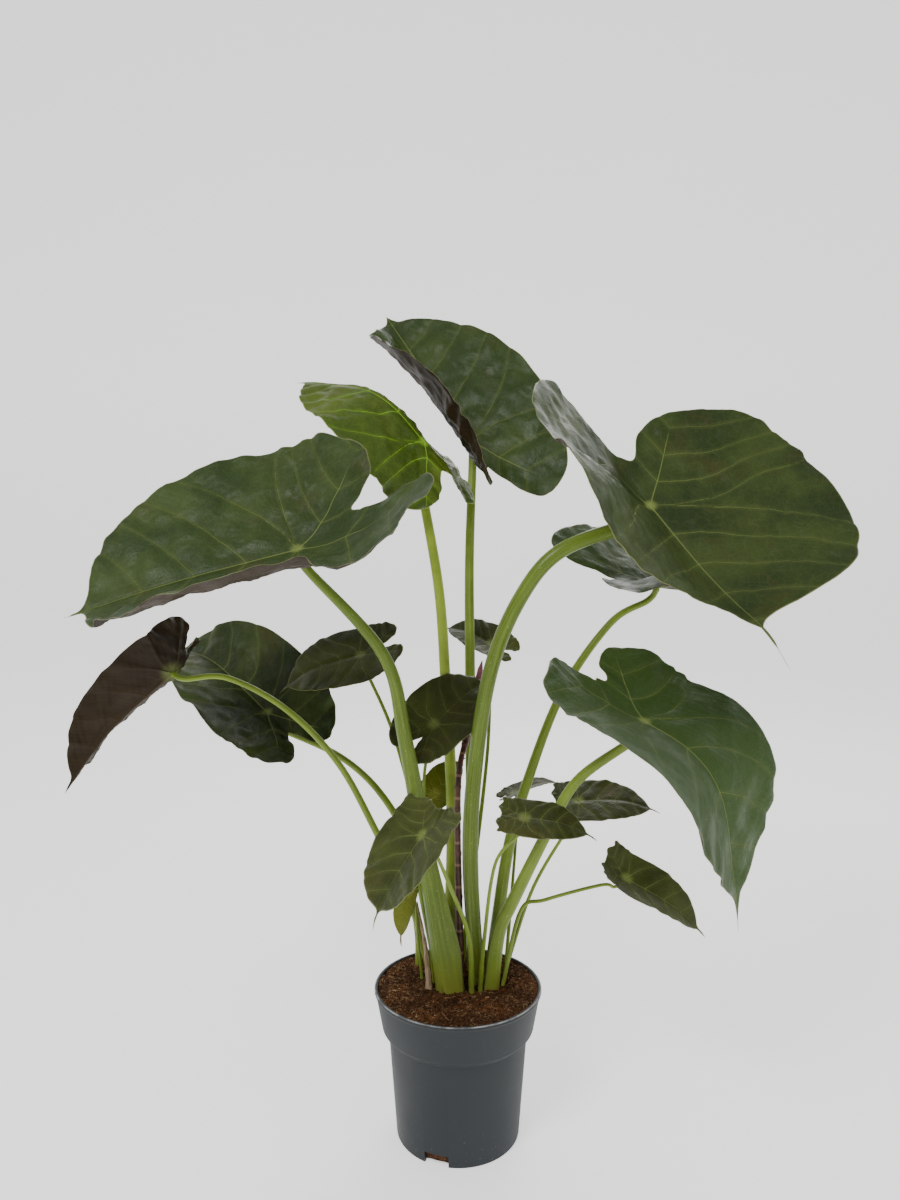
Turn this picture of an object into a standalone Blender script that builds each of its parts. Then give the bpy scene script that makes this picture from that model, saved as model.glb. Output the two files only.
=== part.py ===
"""Potted alocasia in a nursery pot. Metres, +Z up, origin at the centre of the pot's flat foot.

A leaf is a thin blade on its own stalk. Blade coordinates: s runs along the midrib from the joint
to the tip, t runs across it, positive on the leaf's left. Headings turn anticlockwise from +X.
"""

import math
from dataclasses import dataclass

import bmesh
import bpy
from mathutils import Matrix, Vector

# Driving dimensions
RIM_RADIUS = 0.105
POT_HEIGHT = 0.183
COLLAR_BOTTOM = 0.134
COLLAR_FOOT_RADIUS = 0.095
NECK_RADIUS = 0.087
NECK_DROP = 0.007
FOOT_RADIUS = 0.077
WALL = 0.0022
FLOOR = 0.004
POT_SEGMENTS = 48
NOTCH_COUNT = 3
NOTCH_WIDTH = 0.030
NOTCH_HEIGHT = 0.014
FIRST_NOTCH_DEG = -110.0

SOIL_GAP = 0.0006
SOIL_EDGE = 0.172
SOIL_CROWN = 0.179
SOCKET_DEPTH = 0.024
SOCKET_CLEARANCE = 0.0004
SOCKET_SIDES = 12
SOCKET_CUT_HEIGHT = 0.06

BLADE_THICKNESS = 0.0012
JOINT_GAP = 0.0006
KNEE = 0.022
STALK_STEPS = 3

# Half outline as (along, across): along is in lobe lengths behind the joint, in blade lengths
# ahead of it; across is in half-widths. The notch point comes first and is set per leaf.
BACK_OUTLINE = ((-0.62, 0.08), (-0.90, 0.20), (-1.0, 0.42), (-0.86, 0.68), (-0.48, 0.91))
FRONT_OUTLINE = ((0.0, 1.0), (0.28, 1.0), (0.52, 0.88), (0.74, 0.61), (0.89, 0.27), (0.96, 0.05),
                 (1.04, 0.0))

COLOURS = {
    "pot": ((0.055, 0.066, 0.076), 0.55),
    "soil": ((0.075, 0.038, 0.018), 0.95),
    "mature": ((0.030, 0.065, 0.028), 0.35),
    "young": ((0.110, 0.190, 0.030), 0.38),
    "aged": ((0.230, 0.220, 0.040), 0.50),
    "stalk": ((0.190, 0.300, 0.060), 0.45),
    "spear": ((0.090, 0.030, 0.025), 0.45),
    "dry": ((0.420, 0.320, 0.190), 0.80),
}


@dataclass
class Leaf:
    """One leaf. Pairs give the left and the right half. Angles are in degrees."""

    name: str
    joint: tuple
    heading: float
    pitch: float
    roll: float
    length: float
    width: float
    lobe: float
    root: tuple
    stalk: tuple
    radius: tuple
    notch: float = 0.4
    arch: float = 25.0
    arch_at: float = 0.6
    lobe_arch: float = 0.0
    lobe_ratio: tuple = (1.0, 1.0)
    blunt: float = 1.0
    fold: tuple = (10.0, 10.0)
    lobe_fold: tuple = (0.0, 0.0)
    tip_fold: tuple = (0.0, 0.0)
    cup: tuple = (0.0, 0.0)
    twist: float = 0.0
    tone: str = "mature"
    rings: tuple = (0.3, 0.6, 0.85, 1.0)
    steps: int = 1


SMALL_RINGS = (0.45, 0.8, 1.0)

LEAVES = (
    Leaf("left_high", (-0.184, -0.090, 0.728), 190, -15, -35, 0.250, 0.172, 0.145,
         (-0.012, -0.002), ((-0.037, -0.012, 0.335), (-0.064, -0.040, 0.500), (-0.088, -0.065, 0.605)),
         (0.017, 0.0050), notch=0.6, arch=5, lobe_arch=-32, lobe_ratio=(1.25, 0.9),
         blunt=1.4, fold=(12, 15), lobe_fold=(-12, 0), cup=(38, 0)),
    Leaf("young", (-0.045, 0.075, 0.877), 185, 50, -50, 0.220, 0.115, 0.125,
         (-0.011, 0.036), ((-0.007, 0.045, 0.380), (-0.016, 0.062, 0.560), (-0.026, 0.070, 0.690)),
         (0.009, 0.0062), arch=50, arch_at=0.4, lobe_arch=12, lobe_ratio=(0.6, 0.9), fold=(0, -45),
         lobe_fold=(-12, 14), tone="young"),
    Leaf("crown", (0.019, 0.175, 0.895), 135, 50, -54, 0.292, 0.132, 0.135,
         (0.022, 0.050), ((0.019, 0.080, 0.400), (0.018, 0.120, 0.570), (0.018, 0.160, 0.720)),
         (0.0090, 0.0060), arch=6, lobe_ratio=(0.78, 1.05), blunt=0.85, fold=(79, 0), tip_fold=(-33, 0),
         lobe_fold=(5, 0), cup=(28, 0)),
    Leaf("right_high", (0.225, -0.060, 0.780), 305, -45, 32, 0.210, 0.200, 0.135,
         (0.023, 0.024), ((0.015, 0.008, 0.335), (0.020, -0.010, 0.454), (0.038, -0.040, 0.582),
                          (0.073, -0.050, 0.671), (0.122, -0.055, 0.728)),
         (0.0120, 0.0085), notch=0.57, arch=-14, lobe_arch=-16, lobe_ratio=(0.8, 1.3),
         blunt=2.6, fold=(0, 56), lobe_fold=(0, -5), tip_fold=(0, -12)),
    Leaf("right_low", (0.210, -0.100, 0.533), 320, -22, 10, 0.243, 0.130, 0.115,
         (0.042, 0.002), ((0.051, -0.003, 0.250), (0.067, -0.010, 0.290), (0.106, -0.040, 0.385),
                          (0.140, -0.060, 0.455)),
         (0.011, 0.0050), notch=0.66, arch=65, arch_at=0.37, lobe_arch=-23, lobe_ratio=(0.9, 1.0), fold=(5, 12),
         blunt=0.8, lobe_fold=(0, -5), cup=(0, 10)),
    Leaf("right_back", (0.270, 0.080, 0.685), 20, -6, 30, 0.200, 0.120, 0.150,
         (0.044, 0.036), ((0.064, 0.045, 0.328), (0.090, 0.055, 0.420), (0.139, 0.065, 0.543),
                          (0.205, 0.075, 0.635)),
         (0.0105, 0.0042), lobe_arch=-4, lobe_ratio=(1.0, 0.75), fold=(5, 70), lobe_fold=(10, -52)),
    Leaf("left_far", (-0.358, 0.000, 0.577), 200, -42, 60, 0.175, 0.060, 0.070,
         (-0.036, 0.038), ((-0.061, 0.030, 0.275), (-0.103, 0.020, 0.367), (-0.151, 0.010, 0.460),
                           (-0.215, 0.002, 0.530), (-0.288, 0.000, 0.570)),
         (0.0055, 0.0035), lobe_arch=-38, fold=(15, 60)),
    Leaf("left_back", (-0.268, 0.130, 0.506), 140, 28, -10, 0.250, 0.093, 0.105,
         (-0.028, 0.056), ((-0.060, 0.070, 0.321), (-0.100, 0.090, 0.395), (-0.163, 0.110, 0.448)),
         (0.006, 0.0040), notch=0.5, fold=(5, 50)),
    Leaf("small_left", (-0.133, 0.100, 0.590), 185, -15, -30, 0.115, 0.055, 0.060,
         (-0.010, 0.058), ((-0.045, 0.075, 0.330), (-0.086, 0.090, 0.480)),
         (0.004, 0.0022), lobe_arch=-13, fold=(-5, 10), rings=SMALL_RINGS),
    Leaf("small_middle", (-0.030, 0.010, 0.510), 30, 38, 35, 0.100, 0.050, 0.055,
         (-0.030, 0.014), ((-0.040, 0.012, 0.300), (-0.043, 0.010, 0.433), (-0.036, 0.010, 0.478)),
         (0.003, 0.0020), rings=SMALL_RINGS),
    Leaf("small_front", (-0.042, -0.097, 0.402), 215, -48, 0, 0.098, 0.060, 0.042,
         (0.017, -0.014), ((0.013, -0.030, 0.256), (-0.010, -0.060, 0.329)),
         (0.0035, 0.0020), notch=0.85, arch=10, blunt=1.4, rings=SMALL_RINGS),
    Leaf("small_back", (0.050, 0.175, 0.600), 160, 25, -30, 0.075, 0.036, 0.040,
         (0.006, 0.066), ((0.037, 0.128, 0.392), (0.047, 0.158, 0.496)),
         (0.004, 0.0020), rings=SMALL_RINGS),
    Leaf("small_sprout", (0.079, 0.100, 0.400), 10, 20, 0, 0.065, 0.025, 0.025,
         (0.060, 0.020), ((0.073, 0.060, 0.286),), (0.003, 0.0018), rings=SMALL_RINGS),
    Leaf("small_narrow", (0.076, -0.085, 0.419), 350, -5, 25, 0.078, 0.028, 0.032,
         (0.028, -0.008), ((0.032, -0.022, 0.246), (0.044, -0.050, 0.352)),
         (0.003, 0.0018), notch=0.85, fold=(10, -8), rings=SMALL_RINGS),
    Leaf("small_right", (0.159, 0.050, 0.402), 355, 3, 20, 0.100, 0.038, 0.035,
         (0.062, 0.040), ((0.100, 0.045, 0.290),), (0.003, 0.0020), notch=0.85, fold=(10, -8), rings=SMALL_RINGS),
    Leaf("small_low", (0.208, -0.020, 0.324), 340, -24, 30, 0.105, 0.036, 0.040,
         (0.057, 0.004), ((0.080, 0.014, 0.270), (0.111, 0.005, 0.288), (0.178, -0.012, 0.313)),
         (0.003, 0.0020), notch=0.85, lobe_arch=-26, fold=(10, 30), rings=SMALL_RINGS),
    Leaf("small_tucked", (-0.030, 0.075, 0.405), 30, 50, 30, 0.060, 0.026, 0.022,
         (-0.024, 0.030), ((-0.030, 0.055, 0.320),), (0.0025, 0.0016), tone="aged",
         rings=SMALL_RINGS),
    Leaf("small_hanging", (-0.062, 0.000, 0.300), 240, -60, 0, 0.056, 0.015, 0.013,
         (-0.046, 0.020), ((-0.052, 0.012, 0.250),), (0.0025, 0.0016), tone="aged",
         rings=SMALL_RINGS),
)

SPEAR_ROOT = (0.004, 0.018)
SPEAR_PATH = ((0.000, 0.024, 0.414), (0.012, 0.050, 0.489), (0.033, 0.072, 0.585))
SPEAR_RADIUS = (0.0052, 0.0034)
SHEATH_ROOT = (-0.036, -0.004)
SHEATH_PATH = ((-0.041, 0.000, 0.230), (-0.052, 0.006, 0.285))
SHEATH_RADIUS = (0.0028, 0.0012)
STUB_ROOT = (-0.052, 0.060)
STUB_PATH = ((-0.054, 0.061, 0.215), (-0.060, 0.062, 0.250))
STUB_RADIUS = (0.0060, 0.0015)


def clear_scene():
    for obj in list(bpy.data.objects):
        bpy.data.objects.remove(obj)


def material(name):
    found = bpy.data.materials.get(name)
    if found:
        return found
    colour, roughness = COLOURS[name]
    made = bpy.data.materials.new(name)
    made.use_nodes = True
    shader = made.node_tree.nodes["Principled BSDF"]
    shader.inputs["Base Color"].default_value = (*colour, 1.0)
    shader.inputs["Roughness"].default_value = roughness
    return made


def mesh_object(name, bm, tone):
    mesh = bpy.data.meshes.new(name)
    bm.to_mesh(mesh)
    bm.free()
    mesh.materials.append(material(tone))
    obj = bpy.data.objects.new(name, mesh)
    bpy.context.collection.objects.link(obj)
    return obj


def turned(profile, segments):
    """A closed solid of revolution; the profile starts and ends on the axis."""
    bm = bmesh.new()
    verts = [bm.verts.new((radius, 0.0, height)) for radius, height in profile]
    edges = [bm.edges.new(pair) for pair in zip(verts, verts[1:])]
    bmesh.ops.spin(bm, geom=verts + edges, axis=(0, 0, 1), cent=(0, 0, 0), steps=segments,
                   angle=math.tau)
    bmesh.ops.remove_doubles(bm, verts=bm.verts, dist=1e-5)
    bmesh.ops.recalc_face_normals(bm, faces=bm.faces)
    return bm


def cutter(name, bm):
    obj = mesh_object(name, bm, "dry")
    obj.hide_render = True
    obj.display_type = "WIRE"
    return obj


def cut(obj, tool):
    boolean = obj.modifiers.new(tool.name, "BOOLEAN")
    boolean.operation = "DIFFERENCE"
    boolean.solver = "EXACT"
    boolean.object = tool


def make_pot():
    outer = [(0, 0), (FOOT_RADIUS, 0), (NECK_RADIUS, COLLAR_BOTTOM - NECK_DROP),
             (COLLAR_FOOT_RADIUS, COLLAR_BOTTOM), (RIM_RADIUS - 0.0015, POT_HEIGHT - 0.005),
             (RIM_RADIUS, POT_HEIGHT - 0.003), (RIM_RADIUS, POT_HEIGHT)]
    inner = [(RIM_RADIUS - 0.004, POT_HEIGHT), (RIM_RADIUS - 0.0015 - WALL, POT_HEIGHT - 0.005),
             (COLLAR_FOOT_RADIUS - WALL, COLLAR_BOTTOM), (NECK_RADIUS - WALL, COLLAR_BOTTOM - NECK_DROP),
             (FOOT_RADIUS - WALL, FLOOR), (0, FLOOR)]
    pot = mesh_object("pot", turned(outer + inner, POT_SEGMENTS), "pot")
    notches = bmesh.new()
    for index in range(NOTCH_COUNT):
        turn = Matrix.Rotation(math.radians(FIRST_NOTCH_DEG + index * 360 / NOTCH_COUNT), 4, "Z")
        place = Matrix.Translation((FOOT_RADIUS, 0, 0))
        size = Matrix.Diagonal((0.016, NOTCH_WIDTH, 2 * NOTCH_HEIGHT, 1))
        bmesh.ops.create_cube(notches, size=1.0, matrix=turn @ place @ size)
    cut(pot, cutter("notch_cutter", notches))
    return pot


def make_soil(roots):
    edge = WALL + 2 * SOIL_GAP
    flare = (RIM_RADIUS - COLLAR_FOOT_RADIUS) / (POT_HEIGHT - COLLAR_BOTTOM)
    edge_radius = COLLAR_FOOT_RADIUS + flare * (SOIL_EDGE - COLLAR_BOTTOM) - edge
    profile = [(0, FLOOR + SOIL_GAP), (FOOT_RADIUS - edge, FLOOR + SOIL_GAP),
               (NECK_RADIUS - edge, COLLAR_BOTTOM - NECK_DROP),
               (COLLAR_FOOT_RADIUS - edge, COLLAR_BOTTOM + 0.001), (edge_radius, SOIL_EDGE),
               (0.8 * edge_radius, SOIL_EDGE + 0.003), (0, SOIL_CROWN)]
    soil = mesh_object("soil", turned(profile, 32), "soil")
    sockets = bmesh.new()
    middle = SOIL_EDGE - SOCKET_DEPTH + SOCKET_CUT_HEIGHT / 2
    for (x, y), stem in roots:
        radius = (stem + SOCKET_CLEARANCE) / math.cos(math.pi / SOCKET_SIDES)
        bmesh.ops.create_cone(sockets, cap_ends=True, segments=SOCKET_SIDES, radius1=radius,
                              radius2=radius, depth=SOCKET_CUT_HEIGHT,
                              matrix=Matrix.Translation((x, y, middle)))
    cut(soil, cutter("socket_cutter", sockets))
    return soil


def smooth_path(points, steps):
    """Points of a Catmull-Rom curve through the given ones."""
    first = points[0] * 2 - points[1]
    last = points[-1] * 2 - points[-2]
    ring = [first, *points, last]
    path = []
    for a, b, c, d in zip(ring, ring[1:], ring[2:], ring[3:]):
        for step in range(steps):
            u = step / steps
            path.append(0.5 * (2 * b + (c - a) * u + (2 * a - 5 * b + 4 * c - d) * u * u
                               + (3 * b - a - 3 * c + d) * u ** 3))
    path.append(points[-1])
    return path


def make_tube(name, root, waypoints, radii, tone):
    """A tapered stem: a straight buried end, then a smooth rise through the waypoints."""
    foot, top = radii
    ground = Vector((*root, SOIL_CROWN + 0.002))
    buried = Vector((*root, SOIL_EDGE - SOCKET_DEPTH + SOCKET_CLEARANCE))
    path = smooth_path([ground, *map(Vector, waypoints)], STALK_STEPS)
    total = sum((b - a).length for a, b in zip(path, path[1:]))
    curve = bpy.data.curves.new(name, "CURVE")
    curve.dimensions = "3D"
    curve.bevel_depth = 1.0
    curve.bevel_resolution = 2 if foot > 0.0045 else 1
    curve.use_fill_caps = True
    spline = curve.splines.new("POLY")
    spline.points.add(len(path))
    spline.points[0].co = (*buried, 1)
    spline.points[0].radius = foot
    run = 0.0
    for index, point in enumerate(path):
        if index:
            run += (point - path[index - 1]).length
        share = (run / total) ** 0.7
        spline.points[index + 1].co = (*point, 1)
        spline.points[index + 1].radius = foot + (top - foot) * share
    curve.materials.append(material(tone))
    obj = bpy.data.objects.new(name, curve)
    bpy.context.collection.objects.link(obj)
    return obj


def ease(u):
    u = min(max(u, 0.0), 1.0)
    return u * u * (3 - 2 * u)


def leaf_axes(leaf):
    """Unit vectors along the midrib, to the leaf's left, and out of its upper side."""
    heading, pitch, roll = map(math.radians, (leaf.heading, leaf.pitch, leaf.roll))
    along = Vector((math.cos(pitch) * math.cos(heading), math.cos(pitch) * math.sin(heading),
                    math.sin(pitch)))
    level = Vector((-math.sin(heading), math.cos(heading), 0.0))
    above = along.cross(level)
    left = level * math.cos(roll) + above * math.sin(roll)
    return along, left, above * math.cos(roll) - level * math.sin(roll)


def midrib(leaf, s):
    """Place and slope of the arched midrib at s, in the plane of the midrib and the normal."""
    span = 0.6
    start = leaf.arch_at - span / 2

    def slope(at):
        if at < 0:
            return math.radians(leaf.lobe_arch) * ease(-at / (0.45 * leaf.lobe))
        bent = ease((at / leaf.length - start) / span) - ease(-start / span)
        return -math.radians(leaf.arch) * bent

    count = 12
    x = z = 0.0
    for index in range(count):
        middle = slope(s * (index + 0.5) / count)
        x += math.cos(middle) * s / count
        z += math.sin(middle) * s / count
    return x, z, slope(s)


def blade_point(leaf, axes, s, t):
    x, z, slope = midrib(leaf, s)
    side = 0 if t >= 0 else 1
    fold = math.radians(leaf.fold[side] + leaf.lobe_fold[side] * ease(-s / (0.6 * leaf.lobe))
                        + leaf.tip_fold[side] * ease(s / leaf.length))
    bend = math.radians(leaf.cup[side]) / leaf.width
    across = abs(t)
    middle = fold + bend * across / 2
    chord = across * (1.0 if not bend else math.sin(bend * across / 2) / (bend * across / 2 or 1))
    out = chord * math.cos(middle) * (1 if side == 0 else -1)
    up = chord * math.sin(middle)
    turn = math.radians(leaf.twist) * s / leaf.length
    out, up = out * math.cos(turn) - up * math.sin(turn), out * math.sin(turn) + up * math.cos(turn)
    along, left, normal = axes
    return (Vector(leaf.joint) + along * (x - math.sin(slope) * up) + left * out
            + normal * (z + math.cos(slope) * up))


def half_outline(leaf, side):
    lobe = leaf.lobe * leaf.lobe_ratio[side]
    points = [Vector((-leaf.notch * leaf.lobe, 0))]
    points += [Vector((min(a, -leaf.notch) * lobe, b * leaf.width)) for a, b in BACK_OUTLINE]
    points += [Vector((a * leaf.length, b ** (1 / leaf.blunt) * leaf.width)) for a, b in FRONT_OUTLINE]
    return smooth_path(points, leaf.steps)


def make_blade(leaf):
    outline = half_outline(leaf, 0)
    outline += [Vector((p.x, -p.y)) for p in half_outline(leaf, 1)[-2:0:-1]]
    axes = leaf_axes(leaf)
    bm = bmesh.new()
    centre = bm.verts.new(blade_point(leaf, axes, 0, 0))
    rings = [[bm.verts.new(blade_point(leaf, axes, p.x * f, p.y * f)) for p in outline]
             for f in leaf.rings]
    count = len(outline)
    for i in range(count):
        j = (i + 1) % count
        bm.faces.new((centre, rings[0][j], rings[0][i]))
        for inner, outer in zip(rings, rings[1:]):
            bm.faces.new((inner[i], inner[j], outer[j], outer[i]))
    bmesh.ops.recalc_face_normals(bm, faces=bm.faces)
    obj = mesh_object("blade_" + leaf.name, bm, leaf.tone)
    obj.data.shade_smooth()
    solid = obj.modifiers.new("thickness", "SOLIDIFY")
    solid.thickness = BLADE_THICKNESS
    solid.offset = 0.0
    return obj


def make_stalk(leaf):
    normal = leaf_axes(leaf)[2]
    top = leaf.radius[1]
    joint = Vector(leaf.joint)
    droop = math.radians(min(0, *leaf.fold))
    end = joint - normal * (BLADE_THICKNESS / 2 + JOINT_GAP + top) / math.cos(droop)
    knee = end - normal * KNEE * 0.5 + (Vector(leaf.stalk[-1]) - end).normalized() * KNEE * 0.5
    return make_tube("stalk_" + leaf.name, leaf.root, [*leaf.stalk, knee, end], leaf.radius, "stalk")


def main():
    clear_scene()
    make_pot()
    roots = [(leaf.root, leaf.radius[0]) for leaf in LEAVES]
    roots += [(SPEAR_ROOT, SPEAR_RADIUS[0]), (SHEATH_ROOT, SHEATH_RADIUS[0]), (STUB_ROOT, STUB_RADIUS[0])]
    make_soil(roots)
    for leaf in LEAVES:
        make_blade(leaf)
        make_stalk(leaf)
    make_tube("new_leaf_spear", SPEAR_ROOT, SPEAR_PATH, SPEAR_RADIUS, "spear")
    make_tube("dry_sheath", SHEATH_ROOT, SHEATH_PATH, SHEATH_RADIUS, "dry")
    make_tube("side_shoot", STUB_ROOT, STUB_PATH, STUB_RADIUS, "stalk")


if __name__ == "__main__":
    main()
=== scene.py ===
"""Potted alocasia: the finished look of every leaf, stalk, the soil and the nursery pot.

Metres, +Z up, origin at the centre of the pot's flat foot. Blade coordinates: s runs along the
midrib from the joint to the tip, t runs across it, positive on the leaf's left.
"""

import math
from dataclasses import dataclass

import bmesh
import bpy
import numpy as np
from bpy.props import FloatProperty, FloatVectorProperty, IntProperty, PointerProperty
from mathutils import Matrix, Vector


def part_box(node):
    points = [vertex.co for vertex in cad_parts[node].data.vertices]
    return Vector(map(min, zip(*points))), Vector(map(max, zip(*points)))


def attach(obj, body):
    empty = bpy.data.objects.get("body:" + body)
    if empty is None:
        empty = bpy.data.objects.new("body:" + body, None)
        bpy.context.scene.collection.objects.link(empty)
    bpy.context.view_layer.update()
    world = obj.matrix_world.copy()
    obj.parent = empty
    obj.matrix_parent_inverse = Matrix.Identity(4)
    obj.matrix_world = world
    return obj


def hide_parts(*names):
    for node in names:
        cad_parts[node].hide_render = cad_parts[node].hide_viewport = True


bl_info = {
    "name": "Potted alocasia",
    "version": (1, 0, 0),
    "blender": (4, 5, 0),
    "location": "View3D > Sidebar > Alocasia",
    "description": "Builds a potted alocasia around its packed frame",
    "category": "Add Mesh",
}

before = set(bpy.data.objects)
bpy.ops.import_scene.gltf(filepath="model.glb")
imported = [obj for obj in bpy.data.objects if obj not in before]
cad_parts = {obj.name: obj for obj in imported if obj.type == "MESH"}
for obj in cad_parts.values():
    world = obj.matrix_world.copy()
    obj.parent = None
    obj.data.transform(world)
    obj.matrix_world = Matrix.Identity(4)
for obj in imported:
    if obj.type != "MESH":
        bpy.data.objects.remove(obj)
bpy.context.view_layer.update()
POT_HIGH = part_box("pot")[1]
RIM_RADIUS = POT_HIGH.x
POT_HEIGHT = POT_HIGH.z
SOIL_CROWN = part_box("soil")[1].z

# The pot's section: width of the rolled rim, how far it stands past the collar, the step under
# the collar, and both sides of the floor. Then the soil's play at the rim and its lowest point.
RIM_ROLL = 0.0042
RIM_OVERHANG = 0.0017
COLLAR_STEP = 0.007
FLOOR_UNDER = 0.0018
FLOOR_TOP = 0.004
SOIL_PLAY = 0.0004
SOIL_FOOT = 0.0046


# ---------------------------------------------------------------- settings


class PotSettings(bpy.types.PropertyGroup):
    """Sizes and colours of the nursery pot"""

    wall: FloatProperty(name="Wall", description="Thickness of the moulded wall", default=0.0022,
                        unit="LENGTH")
    collar: FloatProperty(name="Collar", description="Height of the collar below the rim",
                          default=0.049, unit="LENGTH")
    collar_foot: FloatProperty(name="Collar foot", description="Radius where the collar starts",
                               default=0.095, unit="LENGTH")
    neck: FloatProperty(name="Neck", description="Radius of the body just under the collar",
                        default=0.087, unit="LENGTH")
    foot: FloatProperty(name="Foot", description="Radius of the flat foot", default=0.077,
                        unit="LENGTH")
    notches: IntProperty(name="Drain notches", description="Notches round the foot", default=3)
    notch_width: FloatProperty(name="Notch width", description="Width of a drain notch",
                               default=0.030, unit="LENGTH")
    notch_height: FloatProperty(name="Notch height", description="Height of a drain notch",
                                default=0.014, unit="LENGTH")
    first_notch: FloatProperty(name="First notch", description="Where the first notch stands",
                               default=math.radians(-110), subtype="ANGLE")
    colour: FloatVectorProperty(name="Plastic", description="Colour of the plastic",
                                default=(0.020, 0.024, 0.027), subtype="COLOR")
    scuff: FloatVectorProperty(name="Scuffed plastic", description="Colour of the worn rim",
                               default=(0.36, 0.36, 0.35), subtype="COLOR")


class SoilSettings(bpy.types.PropertyGroup):
    """The potting soil and the litter on it"""

    roughness: FloatProperty(name="Unevenness", description="Height of the soil's lumps",
                             default=0.0030, unit="LENGTH")
    crumbs: FloatProperty(name="Crumbs", description="Crumbs on a square metre", default=125000)
    crumb: FloatProperty(name="Crumb size", description="Radius of a usual crumb",
                         default=0.0016, unit="LENGTH")
    fibres: FloatProperty(name="Fibres", description="Fibres on a square metre", default=26000)
    fibre: FloatProperty(name="Fibre length", description="Length of a usual fibre",
                         default=0.0065, unit="LENGTH")
    seed: IntProperty(name="Seed", description="Changes how the litter falls", default=5)
    dark: FloatVectorProperty(name="Damp peat", description="Colour of the damp peat",
                              default=(0.028, 0.011, 0.004), subtype="COLOR")
    light: FloatVectorProperty(name="Dry coir", description="Colour of the dry coir",
                               default=(0.165, 0.066, 0.022), subtype="COLOR")


class LeafSettings(bpy.types.PropertyGroup):
    """How every blade is finished"""

    thickness: FloatProperty(name="Thickness", description="Thickness of a blade",
                             default=0.0010, unit="LENGTH")
    quilt: FloatProperty(name="Quilting", description="Height of the pillows between the veins",
                         default=0.0020, unit="LENGTH")
    ripple: FloatProperty(name="Ripple", description="Height of the waves along the margin",
                          default=0.0020, unit="LENGTH")
    vein_spacing: FloatProperty(name="Vein spacing", description="Vein gap, in blade lengths",
                                default=0.235)
    rim_steps: IntProperty(name="Rim steps", description="Points between two outline points",
                           default=12)
    rings: IntProperty(name="Rings", description="Rings of a large blade", default=60)


class StalkSettings(bpy.types.PropertyGroup):
    """How every stalk is finished"""

    sides: IntProperty(name="Sides", description="Points round a stalk", default=32)
    buried: FloatProperty(name="Buried", description="Length of a stalk below the soil",
                          default=0.012, unit="LENGTH")
    foot_colour: FloatVectorProperty(name="Foot", description="Pale colour at the soil",
                                     default=(0.270, 0.300, 0.045), subtype="COLOR")
    warm_colour: FloatVectorProperty(name="Warm", description="Sunlit yellow-green",
                                     default=(0.300, 0.400, 0.045), subtype="COLOR")
    cool_colour: FloatVectorProperty(name="Cool", description="Fresh bluish green",
                                     default=(0.090, 0.145, 0.018), subtype="COLOR")


# ---------------------------------------------------------------- the plant's own numbers

# Half outline as (along, across): along is in lobe lengths behind the joint, in blade lengths
# ahead of it; across is in half-widths. Each leaf sets its own notch and drip tip, and no point
# behind the joint lies ahead of the notch.
BACK_OUTLINE = ((-0.62, 0.08), (-0.90, 0.20), (-1.0, 0.42), (-0.86, 0.68), (-0.48, 0.91))
FRONT_OUTLINE = ((0.0, 1.0), (0.28, 1.0), (0.52, 0.88), (0.74, 0.61), (0.89, 0.27), (0.96, 0.06))
# Where a lobe's own rib ends, in lobe lengths and half-widths.
COSTA_REACH = (-0.93, 0.46)


@dataclass
class Leaf:
    """One leaf. Pairs from lobe_ratio on give the left and the right half. Angles are in degrees.

    joint is where the blade meets its stalk, and heading, pitch and roll turn the blade there.
    length runs from the joint to the tip, lobe from the joint back, and width is a half width.
    root is where the stalk leaves the soil, stalk the points that it passes on its way to the
    joint, and radius its radius at the foot and at the top. The lobes are joined from the joint
    back to notch, a share of lobe, and a larger blunt makes the tip's end fuller. arch bends the
    midrib down around arch_at, lobe_arch bends it behind the joint, and droop bends the drip
    tip, tip long. The folds and cup lift a half about the midrib. wing and sheath shape the
    stalk's foot. warmth yellows the stalk, relief scales the blade's unevenness, and shade is
    how far its upper side turns to a lighter bluish green, partly its own fresher tone and
    partly a painted sheen.
    """

    name: str
    joint: tuple
    heading: float
    pitch: float
    roll: float
    length: float
    width: float
    lobe: float
    root: tuple
    stalk: tuple
    radius: tuple
    notch: float = 0.4
    arch: float = 25.0
    arch_at: float = 0.6
    lobe_arch: float = 0.0
    lobe_ratio: tuple = (1.0, 1.0)
    blunt: float = 1.0
    fold: tuple = (10.0, 10.0)
    lobe_fold: tuple = (0.0, 0.0)
    tip_fold: tuple = (0.0, 0.0)
    cup: tuple = (0.0, 0.0)
    tone: str = "mature"
    tip: float = 0.012
    droop: float = 15.0
    wing: float = 0.25
    sheath: float = 0.10
    warmth: float = 0.5
    relief: float = 1.0
    shade: float = 0.3


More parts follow.
